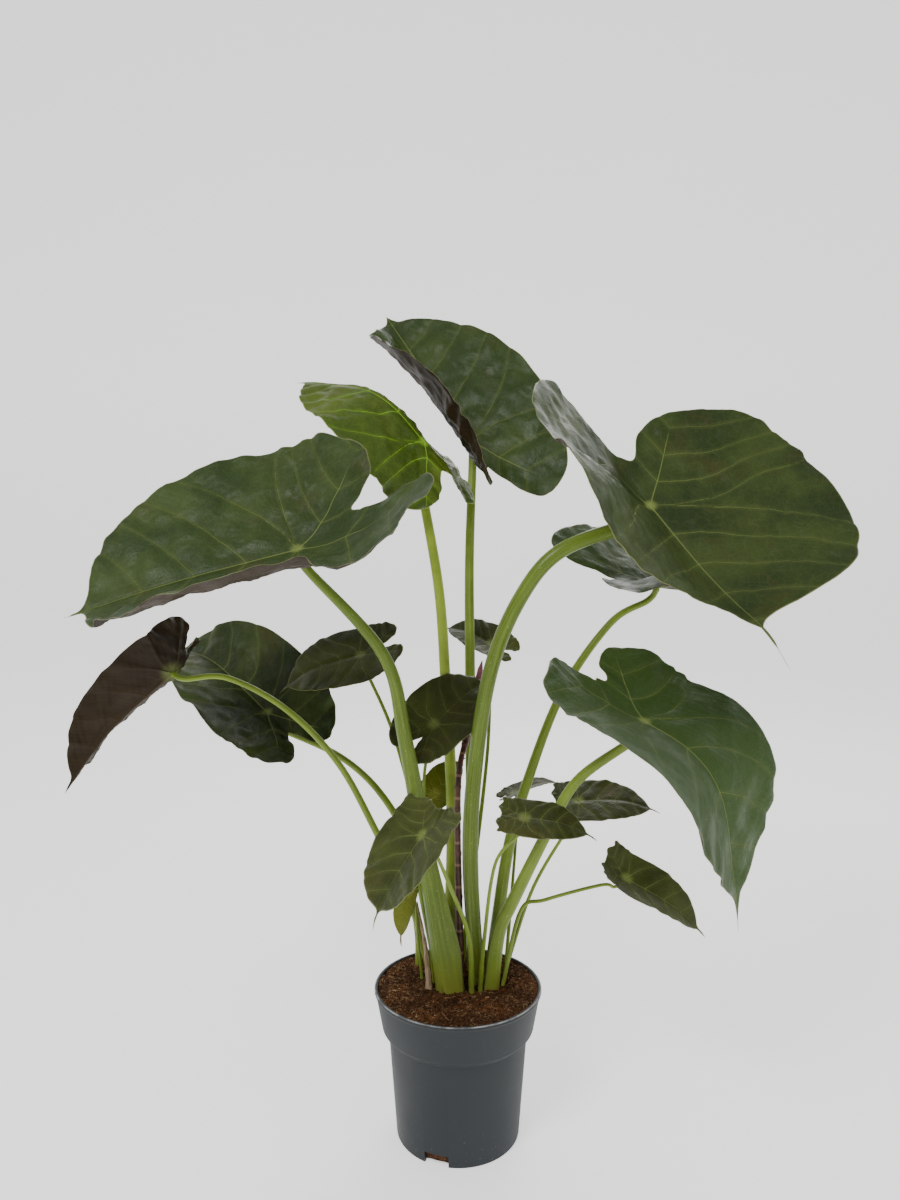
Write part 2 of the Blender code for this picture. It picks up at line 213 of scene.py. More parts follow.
LARGE_LEAVES = (
    Leaf("left_high", (-0.184, -0.090, 0.728), 190, -15, -35, 0.250, 0.172, 0.145,
         (-0.012, -0.002), ((-0.037, -0.012, 0.335), (-0.064, -0.040, 0.500),
                            (-0.088, -0.065, 0.605)),
         (0.017, 0.0050), notch=0.6, arch=5, lobe_arch=-32, lobe_ratio=(1.25, 0.9),
         blunt=1.4, fold=(12, 15), lobe_fold=(-12, 0), cup=(38, 0), tip=0.014, droop=0, wing=0.95,
         sheath=0.20, warmth=0.12, shade=0.35),
    Leaf("young", (-0.045, 0.075, 0.877), 185, 50, -50, 0.220, 0.115, 0.125,
         (-0.011, 0.036), ((-0.007, 0.045, 0.380), (-0.016, 0.062, 0.560), (-0.026, 0.070, 0.690)),
         (0.009, 0.0062), arch=50, arch_at=0.4, lobe_arch=12, lobe_ratio=(0.6, 0.9), fold=(0, -45),
         lobe_fold=(-12, 14), tone="young", wing=0.25, sheath=0.16, warmth=1.0),
    Leaf("crown", (0.019, 0.175, 0.895), 135, 50, -54, 0.292, 0.132, 0.135,
         (0.022, 0.050), ((0.019, 0.080, 0.400), (0.018, 0.120, 0.570), (0.018, 0.160, 0.720)),
         (0.0090, 0.0060), arch=6, lobe_ratio=(0.78, 1.05), blunt=0.85, fold=(79, 0),
         tip_fold=(-33, 0), lobe_fold=(5, 0), cup=(28, 0), wing=0.2, sheath=0.16, warmth=0.4,
         shade=0.35),
    Leaf("right_high", (0.225, -0.060, 0.780), 305, -45, 32, 0.210, 0.200, 0.135,
         (0.023, 0.024), ((0.015, 0.008, 0.335), (0.020, -0.010, 0.454), (0.038, -0.040, 0.582),
                          (0.073, -0.050, 0.671), (0.122, -0.055, 0.728)),
         (0.0120, 0.0085), notch=0.57, arch=-14, lobe_arch=-16, lobe_ratio=(0.8, 1.3),
         blunt=2.6, fold=(0, 56), lobe_fold=(0, -5), tip_fold=(0, -12), tip=0.050, droop=35,
         wing=0.25, sheath=0.22, warmth=0.1, relief=0.6, shade=0.1),
    Leaf("right_low", (0.210, -0.100, 0.533), 320, -22, 10, 0.243, 0.130, 0.115,
         (0.042, 0.002), ((0.051, -0.003, 0.250), (0.067, -0.010, 0.290), (0.106, -0.040, 0.385),
                          (0.140, -0.060, 0.455)),
         (0.011, 0.0050), notch=0.66, arch=65, arch_at=0.37, lobe_arch=-23, lobe_ratio=(0.9, 1.0),
         fold=(5, 12), blunt=0.8, lobe_fold=(0, -5), cup=(0, 10), tip=0.030, droop=5, wing=0.25,
         sheath=0.13, warmth=0.35, relief=0.7, shade=1.0),
    Leaf("right_back", (0.270, 0.080, 0.685), 20, -6, 30, 0.200, 0.120, 0.150,
         (0.044, 0.036), ((0.064, 0.045, 0.328), (0.090, 0.055, 0.420), (0.139, 0.065, 0.543),
                          (0.205, 0.075, 0.635)),
         (0.0105, 0.0042), lobe_arch=-4, lobe_ratio=(1.0, 0.75), fold=(5, 70), lobe_fold=(10, -52),
         wing=0.25, sheath=0.16, warmth=0.3, relief=0.7, shade=0.5),
    Leaf("left_far", (-0.358, 0.000, 0.577), 200, -42, 60, 0.175, 0.060, 0.070,
         (-0.036, 0.038), ((-0.061, 0.030, 0.275), (-0.103, 0.020, 0.367), (-0.151, 0.010, 0.460),
                           (-0.215, 0.002, 0.530), (-0.288, 0.000, 0.570)),
         (0.0055, 0.0035), lobe_arch=-38, fold=(15, 60), wing=0.2, sheath=0.10, warmth=0.5),
    Leaf("left_back", (-0.268, 0.130, 0.506), 140, 28, -10, 0.250, 0.093, 0.105,
         (-0.028, 0.056), ((-0.060, 0.070, 0.321), (-0.100, 0.090, 0.395), (-0.163, 0.110, 0.448)),
         (0.006, 0.0040), notch=0.5, fold=(5, 50), wing=0.3, sheath=0.10, warmth=0.4, shade=0.0),
)

SMALL_LEAVES = (
    Leaf("small_left", (-0.133, 0.100, 0.590), 185, -15, -30, 0.115, 0.055, 0.060,
         (-0.010, 0.058), ((-0.045, 0.075, 0.330), (-0.086, 0.090, 0.480)),
         (0.004, 0.0022), lobe_arch=-13, fold=(-5, 10), tone="olive", relief=0.5, shade=0.0),
    Leaf("small_middle", (-0.030, 0.010, 0.510), 30, 38, 35, 0.100, 0.050, 0.055,
         (-0.030, 0.014), ((-0.040, 0.012, 0.300), (-0.043, 0.010, 0.433), (-0.036, 0.010, 0.478)),
         (0.003, 0.0020), tone="olive", relief=0.6, shade=0.0),
    Leaf("small_front", (-0.042, -0.097, 0.402), 215, -48, 0, 0.098, 0.060, 0.042,
         (0.017, -0.014), ((0.013, -0.030, 0.256), (-0.010, -0.060, 0.329)),
         (0.0035, 0.0020), notch=0.85, arch=10, blunt=1.4, tip=0.018, droop=20,
         tone="olive", relief=0.6, warmth=0.4, shade=0.1),
    Leaf("small_back", (0.050, 0.175, 0.600), 160, 25, -30, 0.075, 0.036, 0.040,
         (0.006, 0.066), ((0.037, 0.128, 0.392), (0.047, 0.158, 0.496)),
         (0.004, 0.0020), tone="olive", relief=0.5, shade=0.0),
    Leaf("small_sprout", (0.079, 0.100, 0.400), 10, 20, 0, 0.065, 0.025, 0.025,
         (0.060, 0.020), ((0.073, 0.060, 0.286),), (0.003, 0.0018), tone="olive", relief=0.4,
         shade=0.0),
    Leaf("small_narrow", (0.076, -0.085, 0.419), 350, -5, 25, 0.078, 0.028, 0.032,
         (0.028, -0.008), ((0.032, -0.022, 0.246), (0.044, -0.050, 0.352)),
         (0.003, 0.0018), notch=0.85, fold=(10, -8), tone="olive", relief=0.4, warmth=0.4,
         shade=0.0),
    Leaf("small_right", (0.159, 0.050, 0.402), 355, 3, 20, 0.100, 0.038, 0.035,
         (0.062, 0.040), ((0.100, 0.045, 0.290),), (0.003, 0.0020), notch=0.85,
         fold=(10, -8), tone="olive", relief=0.4, shade=0.0),
    Leaf("small_low", (0.208, -0.020, 0.324), 340, -24, 30, 0.105, 0.036, 0.040,
         (0.057, 0.004), ((0.080, 0.014, 0.270), (0.111, 0.005, 0.288), (0.178, -0.012, 0.313)),
         (0.003, 0.0020), notch=0.85, lobe_arch=-26, fold=(10, 30), tone="olive", relief=0.4,
         shade=0.0),
    Leaf("small_tucked", (-0.030, 0.075, 0.405), 30, 50, 30, 0.060, 0.026, 0.022,
         (-0.024, 0.030), ((-0.030, 0.055, 0.320),), (0.0025, 0.0016), tone="aged", relief=0.3),
    Leaf("small_hanging", (-0.062, 0.000, 0.300), 240, -60, 0, 0.056, 0.015, 0.013,
         (-0.046, 0.020), ((-0.052, 0.012, 0.250),), (0.0025, 0.0016), tone="aged", relief=0.3),
)

# The stalks' grooves face the growing point. A stalk stops JOINT_DROP under its blade, after a
# last bend about KNEE long.
GROWING_POINT = (0.008, 0.022)
JOINT_DROP = 0.0012
KNEE = 0.022

SPEAR_ROOT = (0.004, 0.018)
SPEAR_PATH = ((0.000, 0.024, 0.414), (0.012, 0.050, 0.489), (0.033, 0.072, 0.585))
SPEAR_RADIUS = (0.0052, 0.0034)
SHEATH_ROOT = (-0.036, -0.004)
SHEATH_PATH = ((-0.041, 0.000, 0.230), (-0.052, 0.006, 0.285))
STUB_ROOT = (-0.052, 0.060)
STUB_PATH = ((-0.054, 0.061, 0.215), (-0.060, 0.062, 0.250))
STUB_RADIUS = (0.0060, 0.0015)

# Colours of a blade: its upper side's dark, light, patches and veins, its underside and the
# veins there, and its margin.
BLADE_COLOURS = {
    "mature": ((0.016, 0.028, 0.005), (0.040, 0.060, 0.011), (0.042, 0.034, 0.006),
               (0.160, 0.200, 0.050), (0.019, 0.012, 0.005), (0.044, 0.030, 0.013),
               (0.190, 0.200, 0.080)),
    "olive": ((0.028, 0.036, 0.005), (0.062, 0.074, 0.014), (0.066, 0.052, 0.012),
              (0.150, 0.190, 0.045), (0.022, 0.014, 0.006), (0.048, 0.034, 0.014),
              (0.170, 0.180, 0.070)),
    "young": ((0.034, 0.058, 0.005), (0.085, 0.115, 0.011), (0.060, 0.050, 0.009),
              (0.220, 0.420, 0.030), (0.060, 0.075, 0.020), (0.150, 0.230, 0.040),
              (0.260, 0.310, 0.090)),
    "aged": ((0.070, 0.078, 0.004), (0.130, 0.140, 0.007), (0.110, 0.080, 0.008),
             (0.200, 0.210, 0.030), (0.085, 0.085, 0.008), (0.160, 0.160, 0.020),
             (0.120, 0.090, 0.020)),
}
# Colours that mark a stalk: shaded green, bright streaks, papery sheath edge, soil, pale flecks.
STALK_MARKS = ((0.085, 0.130, 0.015), (0.28, 0.38, 0.06), (0.42, 0.46, 0.16), (0.10, 0.05, 0.02),
               (0.34, 0.42, 0.14))


# ---------------------------------------------------------------- node helpers


class Nodes:
    """Adds linked nodes to a shader or a geometry tree."""

    def __init__(self, tree):
        self.tree = tree

    def add(self, kind, sources=None, **settings):
        made = self.tree.nodes.new(kind)
        for name, value in settings.items():
            setattr(made, name, value)
        for key, value in (sources or {}).items():
            if isinstance(value, bpy.types.NodeSocket):
                self.tree.links.new(value, made.inputs[key])
            else:
                made.inputs[key].default_value = value
        return made

    def math(self, operation, *values, clamp=False):
        node = self.add("ShaderNodeMath", dict(enumerate(values)), operation=operation)
        node.use_clamp = clamp
        return node.outputs[0]

    def vector(self, operation, *values):
        return self.add("ShaderNodeVectorMath", dict(enumerate(values)), operation=operation)

    def scaled(self, source, factor):
        return self.add("ShaderNodeVectorMath", {0: source, "Scale": factor},
                        operation="SCALE").outputs[0]

    def ramp(self, value, low, high, to_low=0.0, to_high=1.0):
        """A smooth step from to_low to to_high as value goes from low to high."""
        sources = {"Value": value, "From Min": low, "From Max": high, "To Min": to_low,
                   "To Max": to_high}
        return self.add("ShaderNodeMapRange", sources, interpolation_type="SMOOTHSTEP").outputs[0]

    def mix(self, factor, first, second):
        node = self.add("ShaderNodeMix", data_type="RGBA")
        for index, value in ((0, factor), (6, first), (7, second)):
            if isinstance(value, bpy.types.NodeSocket):
                self.tree.links.new(value, node.inputs[index])
            elif index:
                node.inputs[index].default_value = (*value, 1.0)
            else:
                node.inputs[index].default_value = value
        return node.outputs[2]

    def noise(self, coordinates, scale, detail=3.0, roughness=0.55):
        sources = {"Vector": coordinates, "Scale": scale, "Detail": detail, "Roughness": roughness}
        return self.add("ShaderNodeTexNoise", sources).outputs[0]

    def attribute(self, name):
        return self.add("ShaderNodeAttribute", attribute_name=name).outputs["Fac"]

    def bump(self, height, distance, strength=1.0, below=None):
        sources = {"Height": height, "Distance": distance, "Strength": strength}
        if below:
            sources["Normal"] = below
        return self.add("ShaderNodeBump", sources).outputs[0]


def new_material(name):
    """A material with its node helper, its shader and its object coordinates."""
    made = bpy.data.materials.new(name)
    made.use_nodes = True
    nodes = Nodes(made.node_tree)
    shader = made.node_tree.nodes["Principled BSDF"]
    place = nodes.add("ShaderNodeTexCoord").outputs["Object"]
    return made, nodes, shader, place


def plug(nodes, shader, colour=None, roughness=None, normal=None):
    """Links what is given to the shader."""
    for name, source in (("Base Color", colour), ("Roughness", roughness), ("Normal", normal)):
        if source is not None:
            nodes.tree.links.new(source, shader.inputs[name])


def cached(make):
    """Makes each material once and hands it out again."""
    kept = {}

    def found(*key):
        if key not in kept:
            kept[key] = make(*key)
        return kept[key]

    return found


def new_tree(name, sockets):
    """A geometry tree with named inputs, its node helper and the inputs' own sockets."""
    tree = bpy.data.node_groups.new(name, "GeometryNodeTree")
    face = tree.interface
    face.new_socket("Geometry", in_out="INPUT", socket_type="NodeSocketGeometry")
    for key, kind, value in (*sockets, ("Finish", "Material", None)):
        socket = face.new_socket(key, in_out="INPUT", socket_type=f"NodeSocket{kind}")
        if value is not None:
            socket.default_value = value
    face.new_socket("Geometry", in_out="OUTPUT", socket_type="NodeSocketGeometry")
    nodes = Nodes(tree)
    return tree, nodes, nodes.add("NodeGroupInput").outputs


def finish_tree(nodes, geometry, finish):
    """Ends a tree with real geometry in one material."""
    real = nodes.add("GeometryNodeRealizeInstances", {"Geometry": geometry}).outputs[0]
    done = nodes.add("GeometryNodeSetMaterial", {"Geometry": real, "Material": finish})
    nodes.add("NodeGroupOutput", {"Geometry": done.outputs[0]})


# ---------------------------------------------------------------- object helpers


def new_object(name, data):
    """An object in the scene, at the origin."""
    obj = bpy.data.objects.new(name, data)
    bpy.context.scene.collection.objects.link(obj)
    return obj


def evaluated_mesh(obj, material):
    """A plain mesh of an object with its modifiers applied, in one material."""
    depsgraph = bpy.context.evaluated_depsgraph_get()
    mesh = bpy.data.meshes.new_from_object(obj.evaluated_get(depsgraph), depsgraph=depsgraph)
    mesh.materials.clear()
    mesh.materials.append(material)
    mesh.polygons.foreach_set("material_index", [0] * len(mesh.polygons))
    return mesh


def set_mesh(name, points, faces, materials, kinds=None):
    """A new object from points and faces, with one material index for each face."""
    mesh = bpy.data.meshes.new(name)
    mesh.from_pydata(points, [], faces)
    for material in materials:
        mesh.materials.append(material)
    if kinds is not None:
        mesh.polygons.foreach_set("material_index", kinds)
    mesh.shade_smooth()
    return new_object(name, mesh)


def finish_piece(obj, node):
    """Rides a piece on the plant, and hides the part that it replaces."""
    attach(obj, "root")
    if node:
        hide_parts(node)
    return obj


# ---------------------------------------------------------------- materials


def vein_masks(nodes):
    """Distances to the nearest side vein and the joint, and how much is side vein or main rib."""
    phase = nodes.attribute("phase")
    gap = nodes.attribute("gap")
    fade = nodes.attribute("fade")
    nearest = nodes.math("ROUND", phase)
    away = nodes.math("ABSOLUTE", nodes.math("SUBTRACT", phase, nearest))
    away = nodes.math("MULTIPLY", away, gap)
    width = nodes.ramp(fade, 0.0, 0.9, 0.0003, 0.0008)
    side = nodes.ramp(nodes.math("DIVIDE", away, width), 0.55, 1.3, 1.0, 0.0)
    flat = nodes.add("ShaderNodeUVMap", uv_map="flat").outputs[0]
    split = nodes.add("ShaderNodeSeparateXYZ", {0: flat})
    along, across = split.outputs[0], nodes.math("ABSOLUTE", split.outputs[1])
    rib_width = nodes.attribute("rib")
    rib = nodes.ramp(nodes.math("DIVIDE", across, rib_width), 0.6, 1.15, 1.0, 0.0)
    rib = nodes.math("MULTIPLY", rib, nodes.ramp(along, -0.004, 0.001))
    costa = nodes.math("DIVIDE", nodes.math("ABSOLUTE", nodes.attribute("costa")), rib_width)
    costa = nodes.ramp(costa, 0.5, 1.1, 1.0, 0.0)
    costa = nodes.math("MULTIPLY", costa, nodes.attribute("on_costa"))
    main = nodes.math("MAXIMUM", rib, costa)
    reach = nodes.vector("LENGTH", flat).outputs["Value"]
    return away, side, main, reach, phase


@cached
def upper_material(tone):
    """Waxy, mottled upper side, with a fine net of cells, paler veins and a pale edge."""
    dark, light, patch, vein, _, _, margin = BLADE_COLOURS[tone]
    made, nodes, shader, place = new_material(f"{tone} leaf, upper side")
    away, side, main, reach, phase = vein_masks(nodes)
    shade = nodes.noise(place, 11.0, 4.0)
    colour = nodes.mix(nodes.ramp(shade, 0.38, 0.66), dark, light)
    blotch = nodes.ramp(nodes.noise(place, 16.0, 5.0, 0.62), 0.52, 0.74)
    colour = nodes.mix(nodes.math("MULTIPLY", blotch, 0.75), colour, patch)
    # Each leaf's shade turns its upper side to a lighter bluish green: partly the leaf's own
    # fresher tone, partly a painted sheen.
    fresh_tone_and_sheen = tuple(factor * value for factor, value in zip((1.00, 1.35, 1.50), light))
    colour = nodes.mix(nodes.math("MULTIPLY", nodes.attribute("shade"), 0.75), colour, fresh_tone_and_sheen)
    flecks = nodes.ramp(nodes.noise(place, 240.0, 4.0, 0.7), 0.50, 0.72)
    colour = nodes.mix(nodes.math("MULTIPLY", flecks, 0.30), colour, light)
    drift = nodes.add("ShaderNodeTexNoise", {"Vector": place, "Scale": 70.0}).outputs[1]
    warped = nodes.vector("ADD", place, nodes.scaled(drift, 0.008)).outputs[0]
    cells = nodes.add("ShaderNodeTexVoronoi", {"Vector": warped, "Scale": 105.0},
                      feature="DISTANCE_TO_EDGE").outputs["Distance"]
    colour = nodes.mix(nodes.ramp(cells, 0.0, 0.08, 0.07, 0.0), colour, vein)
    halo = nodes.ramp(away, 0.0, 0.0060, 0.20, 0.0)
    colour = nodes.mix(halo, colour, tuple(0.5 * (a + b) for a, b in zip(light, vein)))
    strength = 0.72 if tone == "young" else 0.42
    colour = nodes.mix(nodes.math("MULTIPLY", side, strength), colour, vein)
    colour = nodes.mix(nodes.math("MULTIPLY", main, 0.70), colour, vein)
    glow = tuple(1.25 * value for value in vein)
    colour = nodes.mix(nodes.ramp(reach, 0.002, 0.011, 0.80, 0.0), colour, glow)
    edge = nodes.ramp(nodes.attribute("edge"), 0.0006, 0.0016, 0.75, 0.0)
    colour = nodes.mix(edge, colour, margin)
    worn = nodes.noise(place, 30.0, 3.0)
    roughness = nodes.ramp(worn, 0.35, 0.70, 0.40, 0.62)
    fine = nodes.math("SINE", nodes.math("MULTIPLY", phase, 2 * math.pi * 6))
    fine = nodes.math("MULTIPLY", fine, nodes.ramp(away, 0.001, 0.006))
    fine = nodes.math("MULTIPLY", fine, nodes.ramp(nodes.noise(place, 30.0, 2.0), 0.45, 0.65))
    normal = nodes.bump(fine, 0.0003, 0.25)
    normal = nodes.bump(nodes.noise(place, 55.0, 4.0), 0.0022, 0.45, normal)
    net = nodes.add("ShaderNodeTexVoronoi", {"Vector": place, "Scale": 260.0},
                    feature="DISTANCE_TO_EDGE").outputs["Distance"]
    normal = nodes.bump(nodes.ramp(net, 0.0, 0.14), 0.00016, 0.45, normal)
    normal = nodes.bump(nodes.ramp(cells, 0.0, 0.20), 0.00030, 0.30, normal)
    groove = nodes.math("MULTIPLY", nodes.math("MAXIMUM", side, main), -1.0)
    normal = nodes.bump(groove, 0.0007, 0.8, normal)
    plug(nodes, shader, colour, roughness, normal)
    shader.inputs["Specular IOR Level"].default_value = 0.21
    return made


@cached
def under_material(tone):
    """Duller underside with raised veins."""
    _, _, _, _, base, vein, _ = BLADE_COLOURS[tone]
    made, nodes, shader, place = new_material(f"{tone} leaf, underside")
    away, side, main, reach, phase = vein_masks(nodes)
    shade = nodes.ramp(nodes.noise(place, 14.0, 4.0), 0.35, 0.68)
    colour = nodes.mix(shade, base, tuple(1.7 * value for value in base))
    colour = nodes.mix(nodes.ramp(away, 0.0, 0.005, 0.25, 0.0), colour, vein)
    colour = nodes.mix(nodes.math("MULTIPLY", side, 0.65), colour, vein)
    colour = nodes.mix(nodes.math("MULTIPLY", main, 0.85), colour, tuple(1.5 * v for v in vein))
    colour = nodes.mix(nodes.ramp(reach, 0.003, 0.018, 0.8, 0.0), colour, (0.14, 0.17, 0.05))
    fine = nodes.math("SINE", nodes.math("MULTIPLY", phase, 2 * math.pi * 7))
    normal = nodes.bump(nodes.math("MULTIPLY", fine, nodes.noise(place, 45.0, 2.0)), 0.0003, 0.3)
    raised = nodes.math("MAXIMUM", side, main)
    normal = nodes.bump(raised, 0.0008, 0.9, normal)
    normal = nodes.bump(nodes.noise(place, 300.0, 3.0), 0.00015, 0.5, normal)
    plug(nodes, shader, colour, nodes.ramp(nodes.noise(place, 30.0), 0.3, 0.7, 0.46, 0.62), normal)
    shader.inputs["Specular IOR Level"].default_value = 0.18
    return made


@cached
def margin_material(tone):
    """The blade's thin pale edge."""
    margin = BLADE_COLOURS[tone][6]
    made, nodes, shader, place = new_material(f"{tone} leaf, margin")
    worn = nodes.ramp(nodes.noise(place, 60.0, 4.0), 0.40, 0.65)
    colour = nodes.mix(worn, margin, tuple(0.55 * value for value in margin))
    plug(nodes, shader, colour, nodes.ramp(worn, 0.0, 1.0, 0.45, 0.60))
    return made


@cached
def stalk_material(kind):
    """Green fading to a pale foot, with fine streaks along the stalk."""
    settings = bpy.context.scene.alocasia_stalks
    made, nodes, shader, place = new_material(kind)
    rise, pale, warmth = (nodes.attribute(name) for name in ("rise", "pale", "warmth"))
    shaded, bright, papery, mud, speckle = STALK_MARKS
    wrap = nodes.attribute("wrap")
    streak = nodes.add("ShaderNodeCombineXYZ", {0: nodes.math("MULTIPLY", wrap, 26.0),
                                               1: nodes.math("MULTIPLY", rise, 7.0)}).outputs[0]
    lines = nodes.noise(streak, 1.0, 4.0, 0.6)
    colour = nodes.mix(warmth, tuple(settings.cool_colour), tuple(settings.warm_colour))
    cloud = nodes.ramp(nodes.noise(place, 22.0, 3.0), 0.35, 0.70, 0.0, 0.45)
    colour = nodes.mix(cloud, colour, shaded)
    colour = nodes.mix(nodes.ramp(lines, 0.42, 0.72, 0.0, 0.40), colour, bright)
    foot = nodes.ramp(rise, 0.0, 0.13, 0.85, 0.0)
    colour = nodes.mix(foot, colour, tuple(settings.foot_colour))
    colour = nodes.mix(nodes.math("MULTIPLY", pale, 0.55), colour, papery)
    dirt = nodes.ramp(nodes.noise(place, 90.0, 4.0), 0.50, 0.66)
    dirt = nodes.math("MULTIPLY", dirt, nodes.ramp(rise, 0.012, 0.045, 0.8, 0.0))
    colour = nodes.mix(dirt, colour, mud)
    fleck = nodes.ramp(nodes.noise(place, 420.0, 2.0), 0.62, 0.72, 0.0, 0.35)
    colour = nodes.mix(fleck, colour, speckle)
    normal = nodes.bump(lines, 0.0004, 0.22)
    plug(nodes, shader, colour, nodes.ramp(lines, 0.3, 0.7, 0.29, 0.40), normal)
    shader.inputs["Specular IOR Level"].default_value = 0.20
    return made


@cached
def spear_material():
    """Dark red-brown skin with paler rings and streaks, redder at the tip."""
    made, nodes, shader, place = new_material("rolled new leaf")
    rise = nodes.attribute("rise")
    colour = nodes.mix(nodes.ramp(nodes.noise(place, 60.0, 4.0), 0.38, 0.66), (0.055, 0.016, 0.014),
                       (0.130, 0.050, 0.035))
    rings = nodes.math("PINGPONG", nodes.math("MULTIPLY", rise, 15.0), 0.5)
    colour = nodes.mix(nodes.ramp(rings, 0.40, 0.48, 0.0, 0.75), colour, (0.36, 0.20, 0.13))
    colour = nodes.mix(nodes.ramp(rise, 0.80, 0.97, 0.0, 0.8), colour, (0.22, 0.05, 0.08))
    streaks = nodes.noise(nodes.vector("MULTIPLY", place, (500.0, 500.0, 30.0)).outputs[0], 1.0)
    colour = nodes.mix(nodes.ramp(streaks, 0.45, 0.70, 0.0, 0.4), colour, (0.20, 0.10, 0.06))
    plug(nodes, shader, colour, nodes.ramp(streaks, 0.3, 0.7, 0.35, 0.55),
         nodes.bump(streaks, 0.0003, 0.5))
    return made


@cached
def dry_material():
    """Papery beige skin with a lengthwise grain and brown spots."""
    made, nodes, shader, place = new_material("dry sheath")
    grain = nodes.noise(nodes.vector("MULTIPLY", place, (420.0, 420.0, 24.0)).outputs[0], 1.0, 5.0)
    colour = nodes.mix(nodes.ramp(grain, 0.35, 0.65), (0.16, 0.10, 0.05), (0.42, 0.31, 0.19))
    spots = nodes.ramp(nodes.noise(place, 130.0, 4.0), 0.58, 0.70, 0.0, 0.8)
    colour = nodes.mix(spots, colour, (0.12, 0.06, 0.03))
    plug(nodes, shader, colour, nodes.ramp(grain, 0.3, 0.7, 0.65, 0.85), nodes.bump(grain, 0.0005))
    return made


@cached
def pot_material():
    """Matt moulded plastic with a scuffed lip, upright scratches and dust near its foot."""
    settings = bpy.context.scene.alocasia_pot
    made, nodes, shader, place = new_material("slate nursery plastic")
    cloud = nodes.noise(place, 9.0, 4.0)
    base = tuple(settings.colour)
    colour = nodes.mix(nodes.ramp(cloud, 0.35, 0.68), tuple(0.86 * value for value in base),
                       tuple(1.16 * value for value in base))
    split = nodes.add("ShaderNodeSeparateXYZ", {0: place})
    height = split.outputs[2]
    rub = nodes.noise(place, 70.0, 5.0, 0.65)
    lip = nodes.ramp(height, POT_HEIGHT - 0.0014, POT_HEIGHT - 0.0002)
    level = nodes.vector("MULTIPLY", place, (1.0, 1.0, 0.0)).outputs[0]
    reach = nodes.vector("LENGTH", level).outputs["Value"]
    lip = nodes.math("MULTIPLY", lip, nodes.ramp(reach, RIM_RADIUS - 0.0022, RIM_RADIUS - 0.0008))
    lip = nodes.math("MULTIPLY", lip, nodes.ramp(rub, 0.36, 0.60, 0.25, 1.0))
    colour = nodes.mix(lip, colour, tuple(settings.scuff))
    upright = nodes.vector("MULTIPLY", place, (60.0, 60.0, 7.0)).outputs[0]
    scratch = nodes.ramp(nodes.noise(upright, 1.0, 6.0, 0.7), 0.60, 0.74, 0.0, 0.30)
    colour = nodes.mix(scratch, colour, tuple(1.9 * value for value in base))
    dust = nodes.ramp(nodes.noise(place, 260.0, 3.0), 0.64, 0.74)
    low = nodes.ramp(height, 0.0, 0.05, 0.55, 0.12)
    colour = nodes.mix(nodes.math("MULTIPLY", dust, low), colour, (0.16, 0.11, 0.07))
    roughness = nodes.ramp(cloud, 0.30, 0.70, 0.52, 0.66)
    shader.inputs["Specular IOR Level"].default_value = 0.28
    normal = nodes.bump(nodes.noise(place, 900.0, 2.0), 0.00008, 0.5)
    normal = nodes.bump(nodes.noise(place, 26.0, 2.0), 0.0004, 0.25, normal)
    plug(nodes, shader, colour, roughness, normal)
    return made


@cached
def soil_material(part):
    """Damp ground, or the looser crumbs and fibres that lie on it."""
    settings = bpy.context.scene.alocasia_soil
    dark, light = tuple(settings.dark), tuple(settings.light)
    made, nodes, shader, place = new_material(f"potting soil, {part}")
    lumps = nodes.noise(place, 150.0 if part == "ground" else 210.0, 6.0, 0.7)
    if part == "fibres":
        dark, light = (0.150, 0.075, 0.035), (0.52, 0.36, 0.19)
    colour = nodes.mix(nodes.ramp(lumps, 0.36, 0.66), dark, light)
    patches = nodes.ramp(nodes.noise(place, 28.0, 3.0), 0.38, 0.62, 0.55, 0.0)
    colour = nodes.mix(patches, colour, tuple(0.55 * value for value in dark))
    specks = nodes.ramp(nodes.noise(place, 520.0, 2.0), 0.66, 0.72, 0.0, 0.8)
    colour = nodes.mix(specks, colour, (0.40, 0.25, 0.12))
    normal = nodes.bump(lumps, 0.0016, 0.9)
    plug(nodes, shader, colour, nodes.ramp(lumps, 0.3, 0.7, 0.96, 0.80), normal)
    shader.inputs["Specular IOR Level"].default_value = 0.15
    return made


# ---------------------------------------------------------------- shapes


def ease(u):
    """A smooth step from 0 to 1."""
    u = np.clip(u, 0.0, 1.0)
    return u * u * (3 - 2 * u)


def smooth_path(points, steps):
    """Points of a Catmull-Rom curve through the given ones."""
    first = points[0] * 2 - points[1]
    last = points[-1] * 2 - points[-2]
    ring = [first, *points, last]
    path = []
    for a, b, c, d in zip(ring, ring[1:], ring[2:], ring[3:]):
        for step in range(steps):
            u = step / steps
            path.append(0.5 * (2 * b + (c - a) * u + (2 * a - 5 * b + 4 * c - d) * u * u
                               + (3 * b - a - 3 * c + d) * u ** 3))
    path.append(points[-1])
    return path


def leaf_axes(leaf):
    """Unit vectors along the midrib, to the leaf's left, and out of its upper side."""
    heading, pitch, roll = map(math.radians, (leaf.heading, leaf.pitch, leaf.roll))
    along = Vector((math.cos(pitch) * math.cos(heading), math.cos(pitch) * math.sin(heading),
                    math.sin(pitch)))
    level = Vector((-math.sin(heading), math.cos(heading), 0.0))
    above = along.cross(level)
    left = level * math.cos(roll) + above * math.sin(roll)
    return along, left, above * math.cos(roll) - level * math.sin(roll)


def midrib(leaf, s):
    """Places and slopes of the arched midrib, in the plane of the midrib and the normal."""
    span = 0.6
    start = leaf.arch_at - span / 2
    count = 16

    def slope(at):
        behind = math.radians(leaf.lobe_arch) * ease(-at / (0.45 * leaf.lobe))
        bent = ease((at / leaf.length - start) / span) - ease(-start / span)
        hang = math.radians(leaf.droop) * ease((at / leaf.length - 0.92) / 0.25)
        return np.where(at < 0, behind, -math.radians(leaf.arch) * bent - hang)

    angles = slope(np.outer(s, (np.arange(count) + 0.5) / count))
    return np.cos(angles).mean(1) * s, np.sin(angles).mean(1) * s, slope(s)


